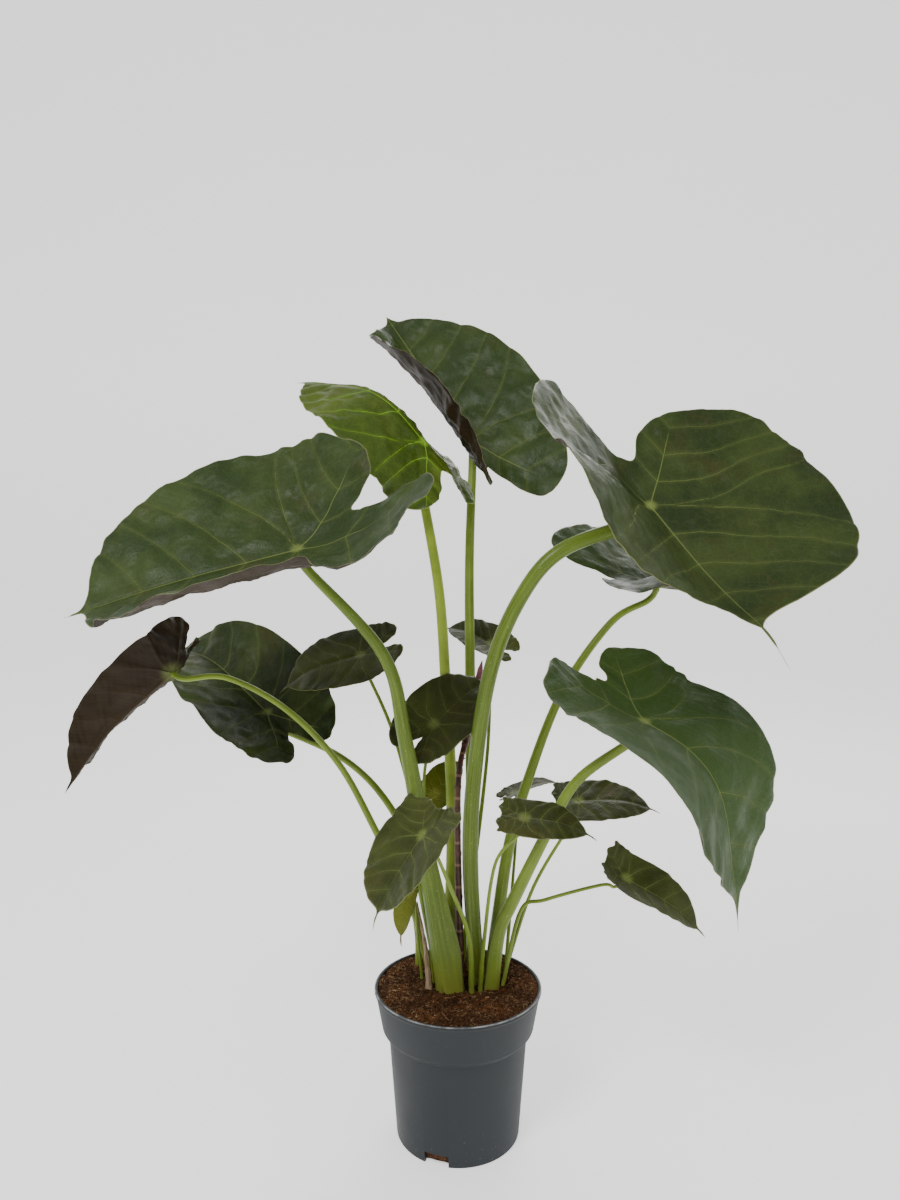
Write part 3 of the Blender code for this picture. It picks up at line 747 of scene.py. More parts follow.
def blade_surface(leaf, s, t):
    """The blade's middle surface at flat coordinates s and t."""
    x, z, slope = midrib(leaf, s)
    left_side = t >= 0
    behind = ease(-s / (0.6 * leaf.lobe))
    fold, lobe_fold, tip_fold, cup = (np.where(left_side, *np.radians(pair)) for pair in
                                      (leaf.fold, leaf.lobe_fold, leaf.tip_fold, leaf.cup))
    fold = fold + lobe_fold * behind + tip_fold * ease(s / leaf.length)
    across = np.abs(t)
    rounding = 0.003 + 0.006 * np.abs(fold) / math.radians(90)
    # Add up the bend from the midrib outwards, in steps that are finest at the midrib.
    count = 24
    share = ((np.arange(count) + 0.5) / count) ** 2
    weight = 2 * (np.arange(count) + 0.5) / count ** 2
    run = np.outer(across, share)
    angle = fold[:, None] * (1 - np.exp(-run / rounding[:, None]))
    angle = angle + (cup / leaf.width)[:, None] * run
    out = (np.cos(angle) * weight).sum(1) * t
    up = (np.sin(angle) * weight).sum(1) * across
    along, left, normal = (np.array(axis) for axis in leaf_axes(leaf))
    return (np.array(leaf.joint) + np.outer(x - np.sin(slope) * up, along) + np.outer(out, left)
            + np.outer(z + np.cos(slope) * up, normal))


def half_outline(leaf, side, steps):
    """Half of a blade's outline, from its notch round the lobe to the end of its drip tip."""
    lobe = leaf.lobe * leaf.lobe_ratio[side]
    points = [np.array((-leaf.notch * leaf.lobe, 0.0))]
    points += [np.array((min(a, -leaf.notch) * lobe, b * leaf.width)) for a, b in BACK_OUTLINE]
    points += [np.array((a * leaf.length, b ** (1 / leaf.blunt) * leaf.width))
               for a, b in FRONT_OUTLINE[:-1]]
    neck, tip_width = FRONT_OUTLINE[-1]
    points += [np.array((neck * leaf.length, tip_width * leaf.width)),
               np.array((leaf.length + 0.4 * leaf.tip, 0.0011)),
               np.array((leaf.length + leaf.tip, 0.0))]
    return smooth_path(points, steps)


def vein_field(leaf, s, t, spacing):
    """Where a point lies among the side veins.

    The phase is a whole number on a vein. Ahead of the joint the veins leave the midrib, behind it
    they leave the lobe's own rib, and a wedge joins the two families.
    """
    across = np.abs(t)
    lobe = leaf.lobe * np.where(t >= 0, *leaf.lobe_ratio)
    reach = np.stack((COSTA_REACH[0] * lobe, np.full_like(s, COSTA_REACH[1] * leaf.width)))
    cs, ct = reach / np.hypot(*reach)
    # front is where a vein through the point leaves the midrib. run and off are the point's
    # place along and beside the lobe's rib, and outer where a vein through it leaves that rib.
    front = s - leaf.width * (0.42 * across / leaf.width + 0.38 * (across / leaf.width) ** 2.2)
    run = s * cs + across * ct
    off = s * ct - across * cs
    outer = run - (0.35 * np.abs(off) + 0.5 * off ** 2 / leaf.width)
    back = np.where(off >= 0, outer, run - 0.8 * np.abs(off))
    front_gap = spacing * leaf.length
    back_gap = 0.36 * lobe
    total = np.maximum(-front - back, 1e-6)
    wedge = front / total
    inner = -1 + np.minimum(0.45, -back / back_gap)
    phase = np.where(front >= 0, front / front_gap,
                     np.where(back >= 0, -1 - back / back_gap, np.where(off >= 0, wedge, inner)))
    gap = np.where(front >= 0, 0.85 * front_gap,
                   np.where(back >= 0, 0.85 * back_gap, np.where(off >= 0, 0.8 * total, back_gap)))
    return phase, gap, off, run


def soft_noise(rng, places, wavelength, count=9):
    """A smooth random height from a few sine waves, about one unit high."""
    height = np.zeros(len(places))
    for _ in range(count):
        way = rng.normal(size=3)
        way /= np.linalg.norm(way)
        length = wavelength * rng.uniform(0.7, 1.6)
        height += np.sin(2 * math.pi * places @ way / length + rng.uniform(0, 2 * math.pi))
    return height / math.sqrt(count)


def blade_grid(leaf, settings, rings):
    """Flat points in rings round the joint, their ring shares, edge distances and rim count."""
    rim = half_outline(leaf, 0, settings.rim_steps)
    rim += [p * (1, -1) for p in half_outline(leaf, 1, settings.rim_steps)[-2:0:-1]]
    rim = np.array(rim)
    shares = (np.arange(rings) + 1) / rings
    shares = shares + 0.10 * np.sin(math.pi * shares) * shares
    flat = np.concatenate((np.zeros((1, 2)), (shares[:, None, None] * rim).reshape(-1, 2)))
    share = np.concatenate(([0.0], np.repeat(shares, len(rim))))
    edge = np.concatenate([np.hypot(*(part[:, None] - rim).transpose(2, 0, 1)).min(1)
                           for part in np.array_split(flat, 40)])
    return flat, share, edge, len(rim)


def surface_frame(leaf, s, t):
    """The blade's middle surface and the way out of its upper side."""
    step = 0.0006
    slope_s = blade_surface(leaf, s + step, t) - blade_surface(leaf, s - step, t)
    slope_t = blade_surface(leaf, s, t + step) - blade_surface(leaf, s, t - step)
    normal = np.cross(slope_s, slope_t)
    normal /= np.linalg.norm(normal, axis=1, keepdims=True)
    return blade_surface(leaf, s, t), normal


def rib_shape(leaf, s, t, off, run, edge):
    """Width of the ribs' colour, where a lobe's own rib runs, and how far the ribs stand out."""
    slender = np.clip(1 - np.maximum(s, 0) / leaf.length, 0.05, 1)
    slender = np.where(s < 0, 0.8 * np.clip(1 + s / leaf.lobe, 0.05, 1), slender)
    rib = 0.0062 * leaf.length * (0.35 + 0.65 * slender)
    ridge = min(leaf.radius[1], 0.006) * (0.20 + 0.40 * slender)
    on_costa = ease((run + 0.002) / 0.004) * ease((1 - run / (0.90 * leaf.lobe)) / 0.3)
    bulge = np.maximum(0, 1 - (t / (1.6 * ridge)) ** 2) * (s > -0.004) * ease(edge / 0.006)
    flank = np.maximum(0, 1 - (off / (1.6 * ridge)) ** 2) * on_costa * (s < 0.004)
    return rib, on_costa, 0.7 * ridge * np.maximum(bulge, 0.8 * flank)


def blade_shape(leaf, settings, rings):
    """Upper and under points of a blade, its rim count, flat points and material values."""
    rng = np.random.default_rng(sum(map(ord, leaf.name)))
    flat, share, edge, around = blade_grid(leaf, settings, rings)
    s, t = flat.T
    bent = np.column_stack((s, t, np.zeros_like(s)))
    drift = 0.0035 * soft_noise(rng, bent, 0.45 * leaf.length, 5) * ease(np.abs(t) / 0.03)
    phase, gap, off, run = vein_field(leaf, s + drift, t, settings.vein_spacing)
    away = np.abs(phase - np.round(phase))
    pillow = np.sin(math.pi * away) ** 0.75
    tame = ease(np.abs(t) / (0.16 * leaf.width)) * ease(gap / 0.030)
    tame = tame * np.where(s < 0, ease(np.abs(off) / (0.12 * leaf.width)), 1.0)
    scallop = 1 + 0.010 * (pillow - 0.6) * share ** 5 * ease((1.02 * leaf.length - s) / 0.04)
    flat = flat * scallop[:, None]
    s, t = flat.T
    middle, normal = surface_frame(leaf, s, t)
    near_edge = ease(1 - edge / (0.40 * leaf.width))
    wave = np.sin(math.pi * (phase + rng.uniform(0, 2))) + 0.6 * np.sin(
        2.6 * math.pi * (phase + rng.uniform(0, 2)))
    # Pillows between the veins, waves along the margin, three sizes of unevenness, a furrow.
    lift = leaf.relief * (settings.quilt * (pillow - 0.35) * tame
                          + settings.ripple * near_edge * wave * ease((leaf.length - s) / 0.06)
                          + 0.0016 * soft_noise(rng, bent, 0.060) * tame
                          + 0.0010 * soft_noise(rng, bent, 0.024) * tame
                          + 0.00035 * soft_noise(rng, bent, 0.010) * tame
                          - 0.0011 * np.exp(-(t / 0.0040) ** 2) * ease((s + 0.01) / 0.01))
    middle = middle + normal * lift[:, None]
    thin = 0.35 + 0.65 * ease(edge / 0.003)
    half = 0.5 * settings.thickness * thin
    rib, on_costa, swell = rib_shape(leaf, s, t, off, run, edge)
    swell = swell + 0.0005 * leaf.relief * np.exp(-(away * gap / 0.0022) ** 2) * ease(edge / 0.012)
    top = middle + normal * half[:, None]
    under = middle - normal * (half + swell)[:, None]
    # shade carries the leaf's lighter bluish tint, partly its own tone and partly a painted sheen.
    values = {"phase": phase, "gap": gap, "fade": 1 - share, "costa": off, "on_costa": on_costa,
              "edge": edge, "rib": rib, "shade": np.full(len(flat), leaf.shade)}
    return top, under, around, flat, values


def make_blade(leaf, settings, rings):
    """A closed blade: a fan and rings of quads on each side, and a strip round its margin."""
    top, under, around, flat, values = blade_shape(leaf, settings, rings)
    count = len(top)
    here = np.arange(around)
    ahead = (here + 1) % around
    fan = [(0, 1 + int(b), 1 + int(a)) for a, b in zip(here, ahead)]
    fan_under = [(count, count + a, count + b) for _, b, a in fan]
    start = 1 + around * np.arange(rings - 1)[:, None]
    outer = start + around
    quads = np.stack((start + here, start + ahead, outer + ahead, outer + here), 2).reshape(-1, 4)
    last = 1 + around * (rings - 1)
    strip = np.column_stack((last + here, last + ahead, count + last + ahead, count + last + here))
    faces = fan + fan_under + quads.tolist() + (quads[:, ::-1] + count).tolist() + strip.tolist()
    sides = [0] * around + [1] * around + [0] * len(quads) + [1] * len(quads) + [2] * around
    makers = (upper_material, under_material, margin_material)
    obj = set_mesh(f"leaf_{leaf.name}", np.concatenate((top, under)).tolist(), faces,
                   [make(leaf.tone) for make in makers], sides)
    mesh = obj.data
    for name, value in values.items():
        attribute = mesh.attributes.new(name, "FLOAT", "POINT")
        attribute.data.foreach_set("value", np.tile(value, 2).astype(np.float32))
    corners = np.empty(len(mesh.loops), np.int32)
    mesh.loops.foreach_get("vertex_index", corners)
    layer = mesh.uv_layers.new(name="flat")
    layer.data.foreach_set("uv", np.tile(flat, (2, 1))[corners].astype(np.float32).ravel())
    return finish_piece(obj, f"blade_{leaf.name}")


# ---------------------------------------------------------------- stalks


@cached
def stalk_tree():
    """Sweeps a ring along a stalk, with a winged sheath at its foot and a groove inside."""
    tree, nodes, given = new_tree("stalk sweep", (
        ("Sides", "Int", 32), ("Inward", "Vector", (0.0, 1.0, 0.0)), ("Wing", "Float", 0.4),
        ("Sheath height", "Float", 0.15), ("Groove", "Float", 0.10), ("Warmth", "Float", 0.5)))
    spline = nodes.add("GeometryNodeSplineParameter")
    curve = nodes.add("GeometryNodeCaptureAttribute", {"Geometry": given["Geometry"]})
    curve.capture_items.new("FLOAT", "Run")
    curve.capture_items.new("FLOAT", "Rise")
    curve.capture_items.new("VECTOR", "Centre")
    position = nodes.add("GeometryNodeInputPosition").outputs[0]
    for key, source in (("Run", spline.outputs["Length"]), ("Rise", spline.outputs["Factor"]),
                        ("Centre", position)):
        tree.links.new(source, curve.inputs[key])
    circle = nodes.add("GeometryNodeCurvePrimitiveCircle", {"Resolution": given["Sides"],
                                                          "Radius": 1.0})
    ring = nodes.add("GeometryNodeCaptureAttribute", {"Geometry": circle.outputs[0]})
    ring.capture_items.new("FLOAT", "Wrap")
    around = nodes.add("GeometryNodeSplineParameter").outputs["Factor"]
    tree.links.new(around, ring.inputs["Wrap"])
    thickness = nodes.add("GeometryNodeInputRadius").outputs[0]
    sweep = nodes.add("GeometryNodeCurveToMesh", {"Curve": curve.outputs["Geometry"],
                                                  "Profile Curve": ring.outputs["Geometry"],
                                                  "Scale": thickness, "Fill Caps": True})
    spoke = nodes.vector("SUBTRACT", position, curve.outputs["Centre"]).outputs[0]
    way = nodes.vector("NORMALIZE", spoke).outputs[0]
    facing = nodes.vector("DOT_PRODUCT", way, given["Inward"]).outputs["Value"]
    above = nodes.math("DIVIDE", curve.outputs["Run"], given["Sheath height"])
    sheath = nodes.ramp(above, 0.05, 1.0, 1.0, 0.0)
    side = nodes.math("ABSOLUTE", nodes.math("SUBTRACT", facing, 0.30))
    wing = nodes.math("MULTIPLY", nodes.ramp(side, 0.0, 0.65, 1.0, 0.0), sheath)
    hollow = nodes.math("MULTIPLY", nodes.ramp(facing, 0.55, 1.0), given["Groove"])
    grow = nodes.math("MULTIPLY", wing, given["Wing"])
    grow = nodes.math("MULTIPLY", grow, nodes.ramp(curve.outputs["Run"], 0.015, 0.075, 0.35, 1.0))
    deeper = nodes.math("ADD", 1.0, nodes.math("MULTIPLY", sheath, 2.0))
    shrink = nodes.math("MULTIPLY", hollow, deeper)
    move = nodes.scaled(spoke, nodes.math("SUBTRACT", grow, shrink))
    moved = nodes.add("GeometryNodeSetPosition", {"Geometry": sweep.outputs[0],
                                                  "Offset": move}).outputs[0]
    pale = nodes.math("MULTIPLY", nodes.ramp(side, 0.0, 0.16, 1.0, 0.0), sheath)
    for name, source in (("rise", curve.outputs["Rise"]), ("wrap", ring.outputs["Wrap"]),
                         ("pale", pale), ("warmth", given["Warmth"])):
        moved = nodes.add("GeometryNodeStoreNamedAttribute", {"Geometry": moved, "Name": name,
                                                              "Value": source}).outputs[0]
    smooth = nodes.add("GeometryNodeSetShadeSmooth", {"Geometry": moved}).outputs[0]
    finish_tree(nodes, smooth, given["Finish"])
    return tree


def apply_tree(obj, tree, inputs):
    """Runs a geometry tree on an object and keeps the result as a plain mesh at the origin."""
    name = obj.name
    modifier = obj.modifiers.new(tree.name, "NODES")
    modifier.node_group = tree
    sockets = {item.name: item.identifier for item in tree.interface.items_tree
               if item.in_out == "INPUT"}
    for key, value in inputs.items():
        modifier[sockets[key]] = value
    mesh = evaluated_mesh(obj, inputs["Finish"])
    bpy.data.objects.remove(obj)
    mesh.name = name
    return new_object(name, mesh)


def path_curve(name, path, radii):
    """A curve object through a path's points, with a radius at each."""
    curve = bpy.data.curves.new(name, "CURVE")
    curve.dimensions = "3D"
    spline = curve.splines.new("POLY")
    spline.points.add(len(path) - 1)
    for point, place, radius in zip(spline.points, path, radii):
        point.co = (*place, 1.0)
        point.radius = radius
    return new_object(name, curve)


def path_shares(path):
    """How far along its length each point of a path lies, from 0 to 1."""
    steps = [0.0] + [(b - a).length for a, b in zip(path, path[1:])]
    return np.cumsum(steps) / sum(steps)


def make_stem(name, root, waypoints, radii, end, inputs):
    """Sweeps one stalk from below the soil through its waypoints, and narrows it to its end."""
    settings = bpy.context.scene.alocasia_stalks
    ground = Vector((*root, SOIL_CROWN + 0.002))
    buried = Vector((*root, SOIL_CROWN - settings.buried))
    path = [buried, *smooth_path([ground, *map(Vector, waypoints)], 10)]
    foot, top = radii
    widths = foot + (top - foot) * path_shares(path) ** 0.7
    if end is not None:
        path.append(end)
        widths = np.append(widths, 0.45 * top)
    curve = path_curve(name, path, widths)
    inward = Vector((*GROWING_POINT, 0.0)) - Vector((*root, 0.0))
    inward = inward.normalized() if inward.length > 0.004 else Vector((0, 1, 0))
    values = {"Sides": settings.sides, "Inward": tuple(inward), **inputs}
    return apply_tree(curve, stalk_tree(), values)


def make_stalk(leaf):
    """A leaf's stalk, from the soil to just under its blade."""
    normal = leaf_axes(leaf)[2]
    top = leaf.radius[1]
    joint = Vector(leaf.joint)
    droop = math.radians(min(0, *leaf.fold))
    end = joint - normal * (JOINT_DROP + top) / math.cos(droop)
    knee = end - normal * KNEE * 0.5 + (Vector(leaf.stalk[-1]) - end).normalized() * KNEE * 0.5
    inputs = {"Wing": leaf.wing, "Sheath height": leaf.sheath, "Groove": 0.10,
              "Warmth": leaf.warmth, "Finish": stalk_material("leaf stalk")}
    obj = make_stem(f"petiole_{leaf.name}", leaf.root, [*leaf.stalk, knee, end], leaf.radius,
                    joint - normal * 0.0008, inputs)
    return finish_piece(obj, f"stalk_{leaf.name}")


# ---------------------------------------------------------------- pot and soil


def turned(profile, segments):
    """A surface of revolution; a profile that starts and ends on the axis gives a closed one."""
    bm = bmesh.new()
    verts = [bm.verts.new((radius, 0.0, height)) for radius, height in profile]
    edges = [bm.edges.new(pair) for pair in zip(verts, verts[1:])]
    bmesh.ops.spin(bm, geom=verts + edges, axis=(0, 0, 1), cent=(0, 0, 0), steps=segments,
                   angle=math.tau)
    bmesh.ops.remove_doubles(bm, verts=bm.verts, dist=1e-5)
    bmesh.ops.recalc_face_normals(bm, faces=bm.faces)
    return bm


def rounded(points, radius, steps=4):
    """A profile whose inner corners are rounded with arcs of about that radius."""
    done = [points[0]]
    for before, corner, after in zip(points, points[1:], points[2:]):
        corner = Vector(corner)
        back, ahead = Vector(before) - corner, Vector(after) - corner
        reach = min(radius, 0.45 * back.length, 0.45 * ahead.length)
        start = corner + back.normalized() * reach
        finish = corner + ahead.normalized() * reach
        for step in range(steps + 1):
            u = step / steps
            done.append(tuple(start * (1 - u) ** 2 + corner * 2 * u * (1 - u) + finish * u * u))
    done.append(points[-1])
    return done


def pot_profile(settings):
    """The pot's section, from the middle of its underside round the rim to the middle inside."""
    wall = settings.wall
    collar = POT_HEIGHT - settings.collar
    step = collar - COLLAR_STEP
    top = RIM_RADIUS - RIM_OVERHANG
    outer = [(0, FLOOR_UNDER), (0.9 * settings.foot, FLOOR_UNDER), (0.93 * settings.foot, 0),
             (settings.foot, 0), (settings.neck, step), (settings.collar_foot, collar),
             (top, POT_HEIGHT - 0.0055), (RIM_RADIUS, POT_HEIGHT - 0.0038),
             (RIM_RADIUS, POT_HEIGHT)]
    inner = [(RIM_RADIUS - RIM_ROLL, POT_HEIGHT), (top - wall, POT_HEIGHT - 0.006),
             (settings.collar_foot - wall, collar), (settings.neck - wall, step),
             (settings.foot - wall, FLOOR_TOP), (0, FLOOR_TOP)]
    return rounded(outer + inner, 0.0014)


def make_pot(settings):
    """One moulded shell, with the drain notches cut through the edge of its foot."""
    pot = new_object("nursery_pot", bpy.data.meshes.new("nursery_pot"))
    bm = turned(pot_profile(settings), 144)
    bm.to_mesh(pot.data)
    bm.free()
    tool = new_object("notch_cutter", bpy.data.meshes.new("notch_cutter"))
    cutters = bmesh.new()
    for index in range(settings.notches):
        turn = Matrix.Rotation(settings.first_notch + index * math.tau / settings.notches, 4, "Z")
        place = Matrix.Translation((settings.foot, 0, 0))
        size = Matrix.Diagonal((0.016, settings.notch_width, 2 * settings.notch_height, 1))
        bmesh.ops.create_cube(cutters, size=1.0, matrix=turn @ place @ size)
    cutters.to_mesh(tool.data)
    cutters.free()
    boolean = pot.modifiers.new("notches", "BOOLEAN")
    boolean.solver = "EXACT"
    boolean.operation = "DIFFERENCE"
    boolean.object = tool
    mesh = evaluated_mesh(pot, pot_material())
    pot.modifiers.clear()
    pot.data = mesh
    bpy.data.objects.remove(tool)
    mesh.shade_smooth()
    mesh.set_sharp_from_angle(angle=math.radians(50))
    return finish_piece(pot, "pot")


def soil_height(x, y, rng, lumps):
    """Height of the soil: a low mound with lumps, and hollows where the stalks come out."""
    reach = np.hypot(x, y) / RIM_RADIUS
    flat = np.column_stack((x, y, np.zeros_like(x)))
    bumps = lumps * (0.55 * soft_noise(rng, flat, 0.034) + 0.35 * soft_noise(rng, flat, 0.013)
                     + 0.22 * soft_noise(rng, flat, 0.006))
    height = SOIL_CROWN + 0.0024 - 0.0004 * reach ** 3 + 0.5 * bumps
    for leaf in LARGE_LEAVES[:5]:
        gone = np.hypot(x - leaf.root[0], y - leaf.root[1]) / (2.4 * leaf.radius[0])
        height = height - 0.0035 * np.exp(-gone ** 4)
    return height


def make_soil(settings):
    """A closed body of soil: a lumpy top, a side just inside the pot, a flat bottom."""
    rng = np.random.default_rng(settings.seed)
    pot = bpy.context.scene.alocasia_pot
    around, rings = 240, 90
    edge = RIM_RADIUS - RIM_ROLL - SOIL_PLAY
    spans = np.sqrt((np.arange(rings) + 1) / rings) * edge
    turn = np.arange(around) * math.tau / around
    x = np.concatenate(([0.0], np.outer(spans, np.cos(turn)).ravel()))
    y = np.concatenate(([0.0], np.outer(spans, np.sin(turn)).ravel()))
    z = soil_height(x, y, rng, settings.roughness)
    points = np.column_stack((x, y, z)).tolist()
    collar = POT_HEIGHT - pot.collar
    inside = pot.wall + 0.0012
    for radius, height in ((pot.collar_foot - inside, collar + 0.001),
                           (pot.neck - inside, collar - COLLAR_STEP),
                           (pot.foot - inside, SOIL_FOOT)):
        points += [(radius * math.cos(a), radius * math.sin(a), height) for a in turn]
    points.append((0.0, 0.0, SOIL_FOOT))
    here = np.arange(around)
    ahead = (here + 1) % around
    start = 1 + around * np.arange(rings + 2)[:, None]
    outer = start + around
    quads = np.stack((start + here, outer + here, outer + ahead, start + ahead), 2)
    faces = [(0, 1 + int(a), 1 + int(b)) for a, b in zip(here, ahead)]
    faces += quads.reshape(-1, 4).tolist()
    last = 1 + around * (rings + 2)
    centre = len(points) - 1
    faces += [(last + int(b), last + int(a), centre) for a, b in zip(here, ahead)]
    soil = set_mesh("potting_soil", points, faces, [soil_material("ground")])
    return finish_piece(soil, "soil")


def litter_tree(kind):
    """Scatters crumbs or fibres over the soil that it is given."""
    tree, nodes, given = new_tree(f"soil {kind}", (
        ("Density", "Float", 1000.0), ("Size", "Float", 0.002), ("Seed", "Int", 1)))
    points = nodes.add("GeometryNodeDistributePointsOnFaces",
                       {"Mesh": given["Geometry"], "Density": given["Density"],
                        "Seed": given["Seed"]})
    if kind == "crumbs":
        shape = nodes.add("GeometryNodeMeshIcoSphere",
                          {"Radius": 1.0, "Subdivisions": 1}).outputs[0]
        low, high = (0.45, 0.40, 0.35), (1.6, 1.2, 0.9)
    else:
        line = nodes.add("GeometryNodeCurveQuadraticBezier",
                         {"Resolution": 6, "Start": (-0.5, 0.0, 0.0), "Middle": (0.0, 0.28, 0.10),
                          "End": (0.5, 0.0, 0.03)}).outputs[0]
        profile = nodes.add("GeometryNodeCurvePrimitiveCircle",
                            {"Resolution": 4, "Radius": 0.045}).outputs[0]
        shape = nodes.add("GeometryNodeCurveToMesh", {"Curve": line, "Profile Curve": profile,
                                                      "Fill Caps": True}).outputs[0]
        low, high = (0.5, 0.5, 0.8), (1.5, 1.5, 1.6)
    scale = nodes.add("FunctionNodeRandomValue", {"Min": low, "Max": high, "Seed": 3},
                      data_type="FLOAT_VECTOR").outputs[0]
    scale = nodes.scaled(scale, given["Size"])
    tilt = math.pi if kind == "crumbs" else 0.45
    turn = nodes.add("FunctionNodeRandomValue", {"Min": (-tilt, -tilt, -math.pi),
                                                 "Max": (tilt, tilt, math.pi), "Seed": 8},
                     data_type="FLOAT_VECTOR").outputs[0]
    copies = nodes.add("GeometryNodeInstanceOnPoints", {"Points": points.outputs[0],
                                                        "Instance": shape, "Rotation": turn,
                                                        "Scale": scale}).outputs[0]
    finish_tree(nodes, copies, given["Finish"])
    return tree


def make_litter(kind, density, size, seed):
    """Crumbs or fibres on the open top of the soil, as one mesh."""
    soil = bpy.data.objects["potting_soil"]
    bm = bmesh.new()
    bm.from_mesh(soil.data)
    # Litter lies only on the top, clear of the rim.
    reach = RIM_RADIUS - 0.0050
    centres = ((face, face.calc_center_median()) for face in bm.faces)
    gone = [face for face, at in centres if at.xy.length > reach or at.z < SOIL_CROWN - 0.02]
    bmesh.ops.delete(bm, geom=gone, context="FACES")
    mesh = bpy.data.meshes.new(f"soil_{kind}")
    bm.to_mesh(mesh)
    bm.free()
    ground = new_object(f"soil_{kind}", mesh)
    made = apply_tree(ground, litter_tree(kind), {"Density": density, "Size": size, "Seed": seed,
                                                  "Finish": soil_material(kind)})
    made.data.shade_smooth()
    return finish_piece(made, None)


# ---------------------------------------------------------------- spear, sheath and side shoot


def make_spear():
    """The rolled new leaf: slim, with raised rings, and fuller before its pointed tip."""
    path = smooth_path([Vector((*SPEAR_ROOT, SOIL_CROWN - 0.006)), *map(Vector, SPEAR_PATH)], 60)
    share = path_shares(path)
    foot, top = SPEAR_RADIUS
    bulge = 1 + 0.55 * ease((share - 0.70) / 0.10) * ease((1.0 - share) / 0.16)
    from_ring = np.abs((share * 15.0 + 0.5) % 1 - 0.5)
    rings = 1 + 0.16 * np.exp(-(from_ring / 0.06) ** 2) * (share < 0.8)
    taper = (foot + (top - foot) * share ** 0.7) * bulge * rings
    widths = taper * np.minimum(1, (1 - share) * 30 + 0.15)
    curve = path_curve("furled_leaf", path, widths)
    made = apply_tree(curve, stalk_tree(), {"Sides": 24, "Wing": 0.0, "Groove": 0.25,
                                            "Sheath height": 0.05, "Finish": spear_material()})
    return finish_piece(made, "new_leaf_spear")


def make_dry_sheath():
    """A papery strip left by an old stalk, folded along its middle and curled at its edges."""
    path = smooth_path([Vector((*SHEATH_ROOT, SOIL_CROWN - 0.004)), *map(Vector, SHEATH_PATH)], 24)
    share = path_shares(path)
    columns = 13
    points = []
    for place, u in zip(path, share):
        half = 0.0040 * (1 - 0.75 * u) * (1 + 0.12 * math.sin(37 * u))
        for column in range(columns):
            v = 2 * column / (columns - 1) - 1
            curl = math.radians(95) * v * (1 - 0.25 * u)
            points.append(place + Vector((half * math.sin(curl), -half * math.cos(curl) * 0.8,
                                          0.0008 * math.sin(30 * u + 3 * v))))
    faces = [(corner, corner + 1, corner + columns + 1, corner + columns)
             for row in range(len(path) - 1)
             for corner in range(row * columns, (row + 1) * columns - 1)]
    obj = set_mesh("papery_sheath", points, faces, [dry_material()])
    solid = obj.modifiers.new("thickness", "SOLIDIFY")
    solid.thickness = 0.0005
    solid.offset = 0.0
    return finish_piece(obj, "dry_sheath")


def make_side_shoot():
    """A short blunt shoot that ends in a point."""
    inputs = {"Wing": 0.5, "Sheath height": 0.07, "Groove": 0.2, "Warmth": 0.6,
              "Finish": stalk_material("leaf stalk")}
    obj = make_stem("offset_shoot", STUB_ROOT, STUB_PATH, STUB_RADIUS, None, inputs)
    return finish_piece(obj, "side_shoot")


# ---------------------------------------------------------------- stage


def make_stage():
    """Pale sweep, soft lights and the camera."""
    made, nodes, shader, place = new_material("pale sweep")
    cloud = nodes.noise(place, 2.0, 2.0)
    plug(nodes, shader, nodes.mix(cloud, (0.82, 0.82, 0.81), (0.86, 0.86, 0.855)))
    shader.inputs["Roughness"].default_value = 0.9
    shader.inputs["Emission Color"].default_value = (1.0, 1.0, 0.995, 1.0)
    shader.inputs["Emission Strength"].default_value = 0.8
    profile = rounded([(-6.0, 0.0), (5.0, 0.0), (5.0, 7.0)], 2.2, 24)
    points = [(x, y, z) for y, z in profile for x in (-9.0, 9.0)]
    faces = [(i, i + 1, i + 3, i + 2) for i in range(0, len(points) - 2, 2)]
    sweep = set_mesh("sweep", points, faces, [made])
    world = bpy.data.worlds.new("soft sky")
    world.use_nodes = True
    world.node_tree.nodes["Background"].inputs[0].default_value = (1.0, 1.0, 1.0, 1.0)
    world.node_tree.nodes["Background"].inputs[1].default_value = 0.5
    bpy.context.scene.world = world
    target = Vector((0.0, 0.0, 0.55))
    for name, place, size, power in (("key", (-1.2, -1.9, 2.6), 1.1, 58.0),
                                     ("fill", (2.2, -1.4, 1.4), 1.8, 12.0),
                                     ("back", (0.6, 2.2, 2.4), 1.6, 26.0)):
        light = bpy.data.lights.new(name, "AREA")
        light.shape = "DISK"
        light.size = size
        light.energy = power
        lamp = new_object(name, light)
        lamp.location = place
        lamp.rotation_euler = (target - Vector(place)).to_track_quat("-Z", "Y").to_euler()
    lens = bpy.data.cameras.new("camera")
    lens.lens = 25.0
    lens.sensor_width = 36.0
    camera = new_object("camera", lens)
    camera.location = (-0.010, -1.040, 0.695)
    camera.rotation_euler = (math.radians(88.5), 0.0, 0.0)
    bpy.context.scene.camera = camera


# ---------------------------------------------------------------- operators


class ALOCASIA_OT_pot(bpy.types.Operator):
    """Make the nursery pot"""

    bl_idname = "alocasia.pot"
    bl_label = "Nursery pot"

    def execute(self, context):
        make_pot(context.scene.alocasia_pot)
        return {"FINISHED"}


class ALOCASIA_OT_soil(bpy.types.Operator):
    """Fill the pot with soil"""

    bl_idname = "alocasia.soil"
    bl_label = "Potting soil"

    def execute(self, context):
        make_soil(context.scene.alocasia_soil)
        return {"FINISHED"}


class ALOCASIA_OT_litter(bpy.types.Operator):
    """Scatter crumbs and fibres over the soil"""

    bl_idname = "alocasia.litter"
    bl_label = "Crumbs and fibres"

    def execute(self, context):
        soil = context.scene.alocasia_soil
        make_litter("crumbs", soil.crumbs, soil.crumb, soil.seed)
        make_litter("fibres", soil.fibres, soil.fibre, soil.seed + 1)
        return {"FINISHED"}


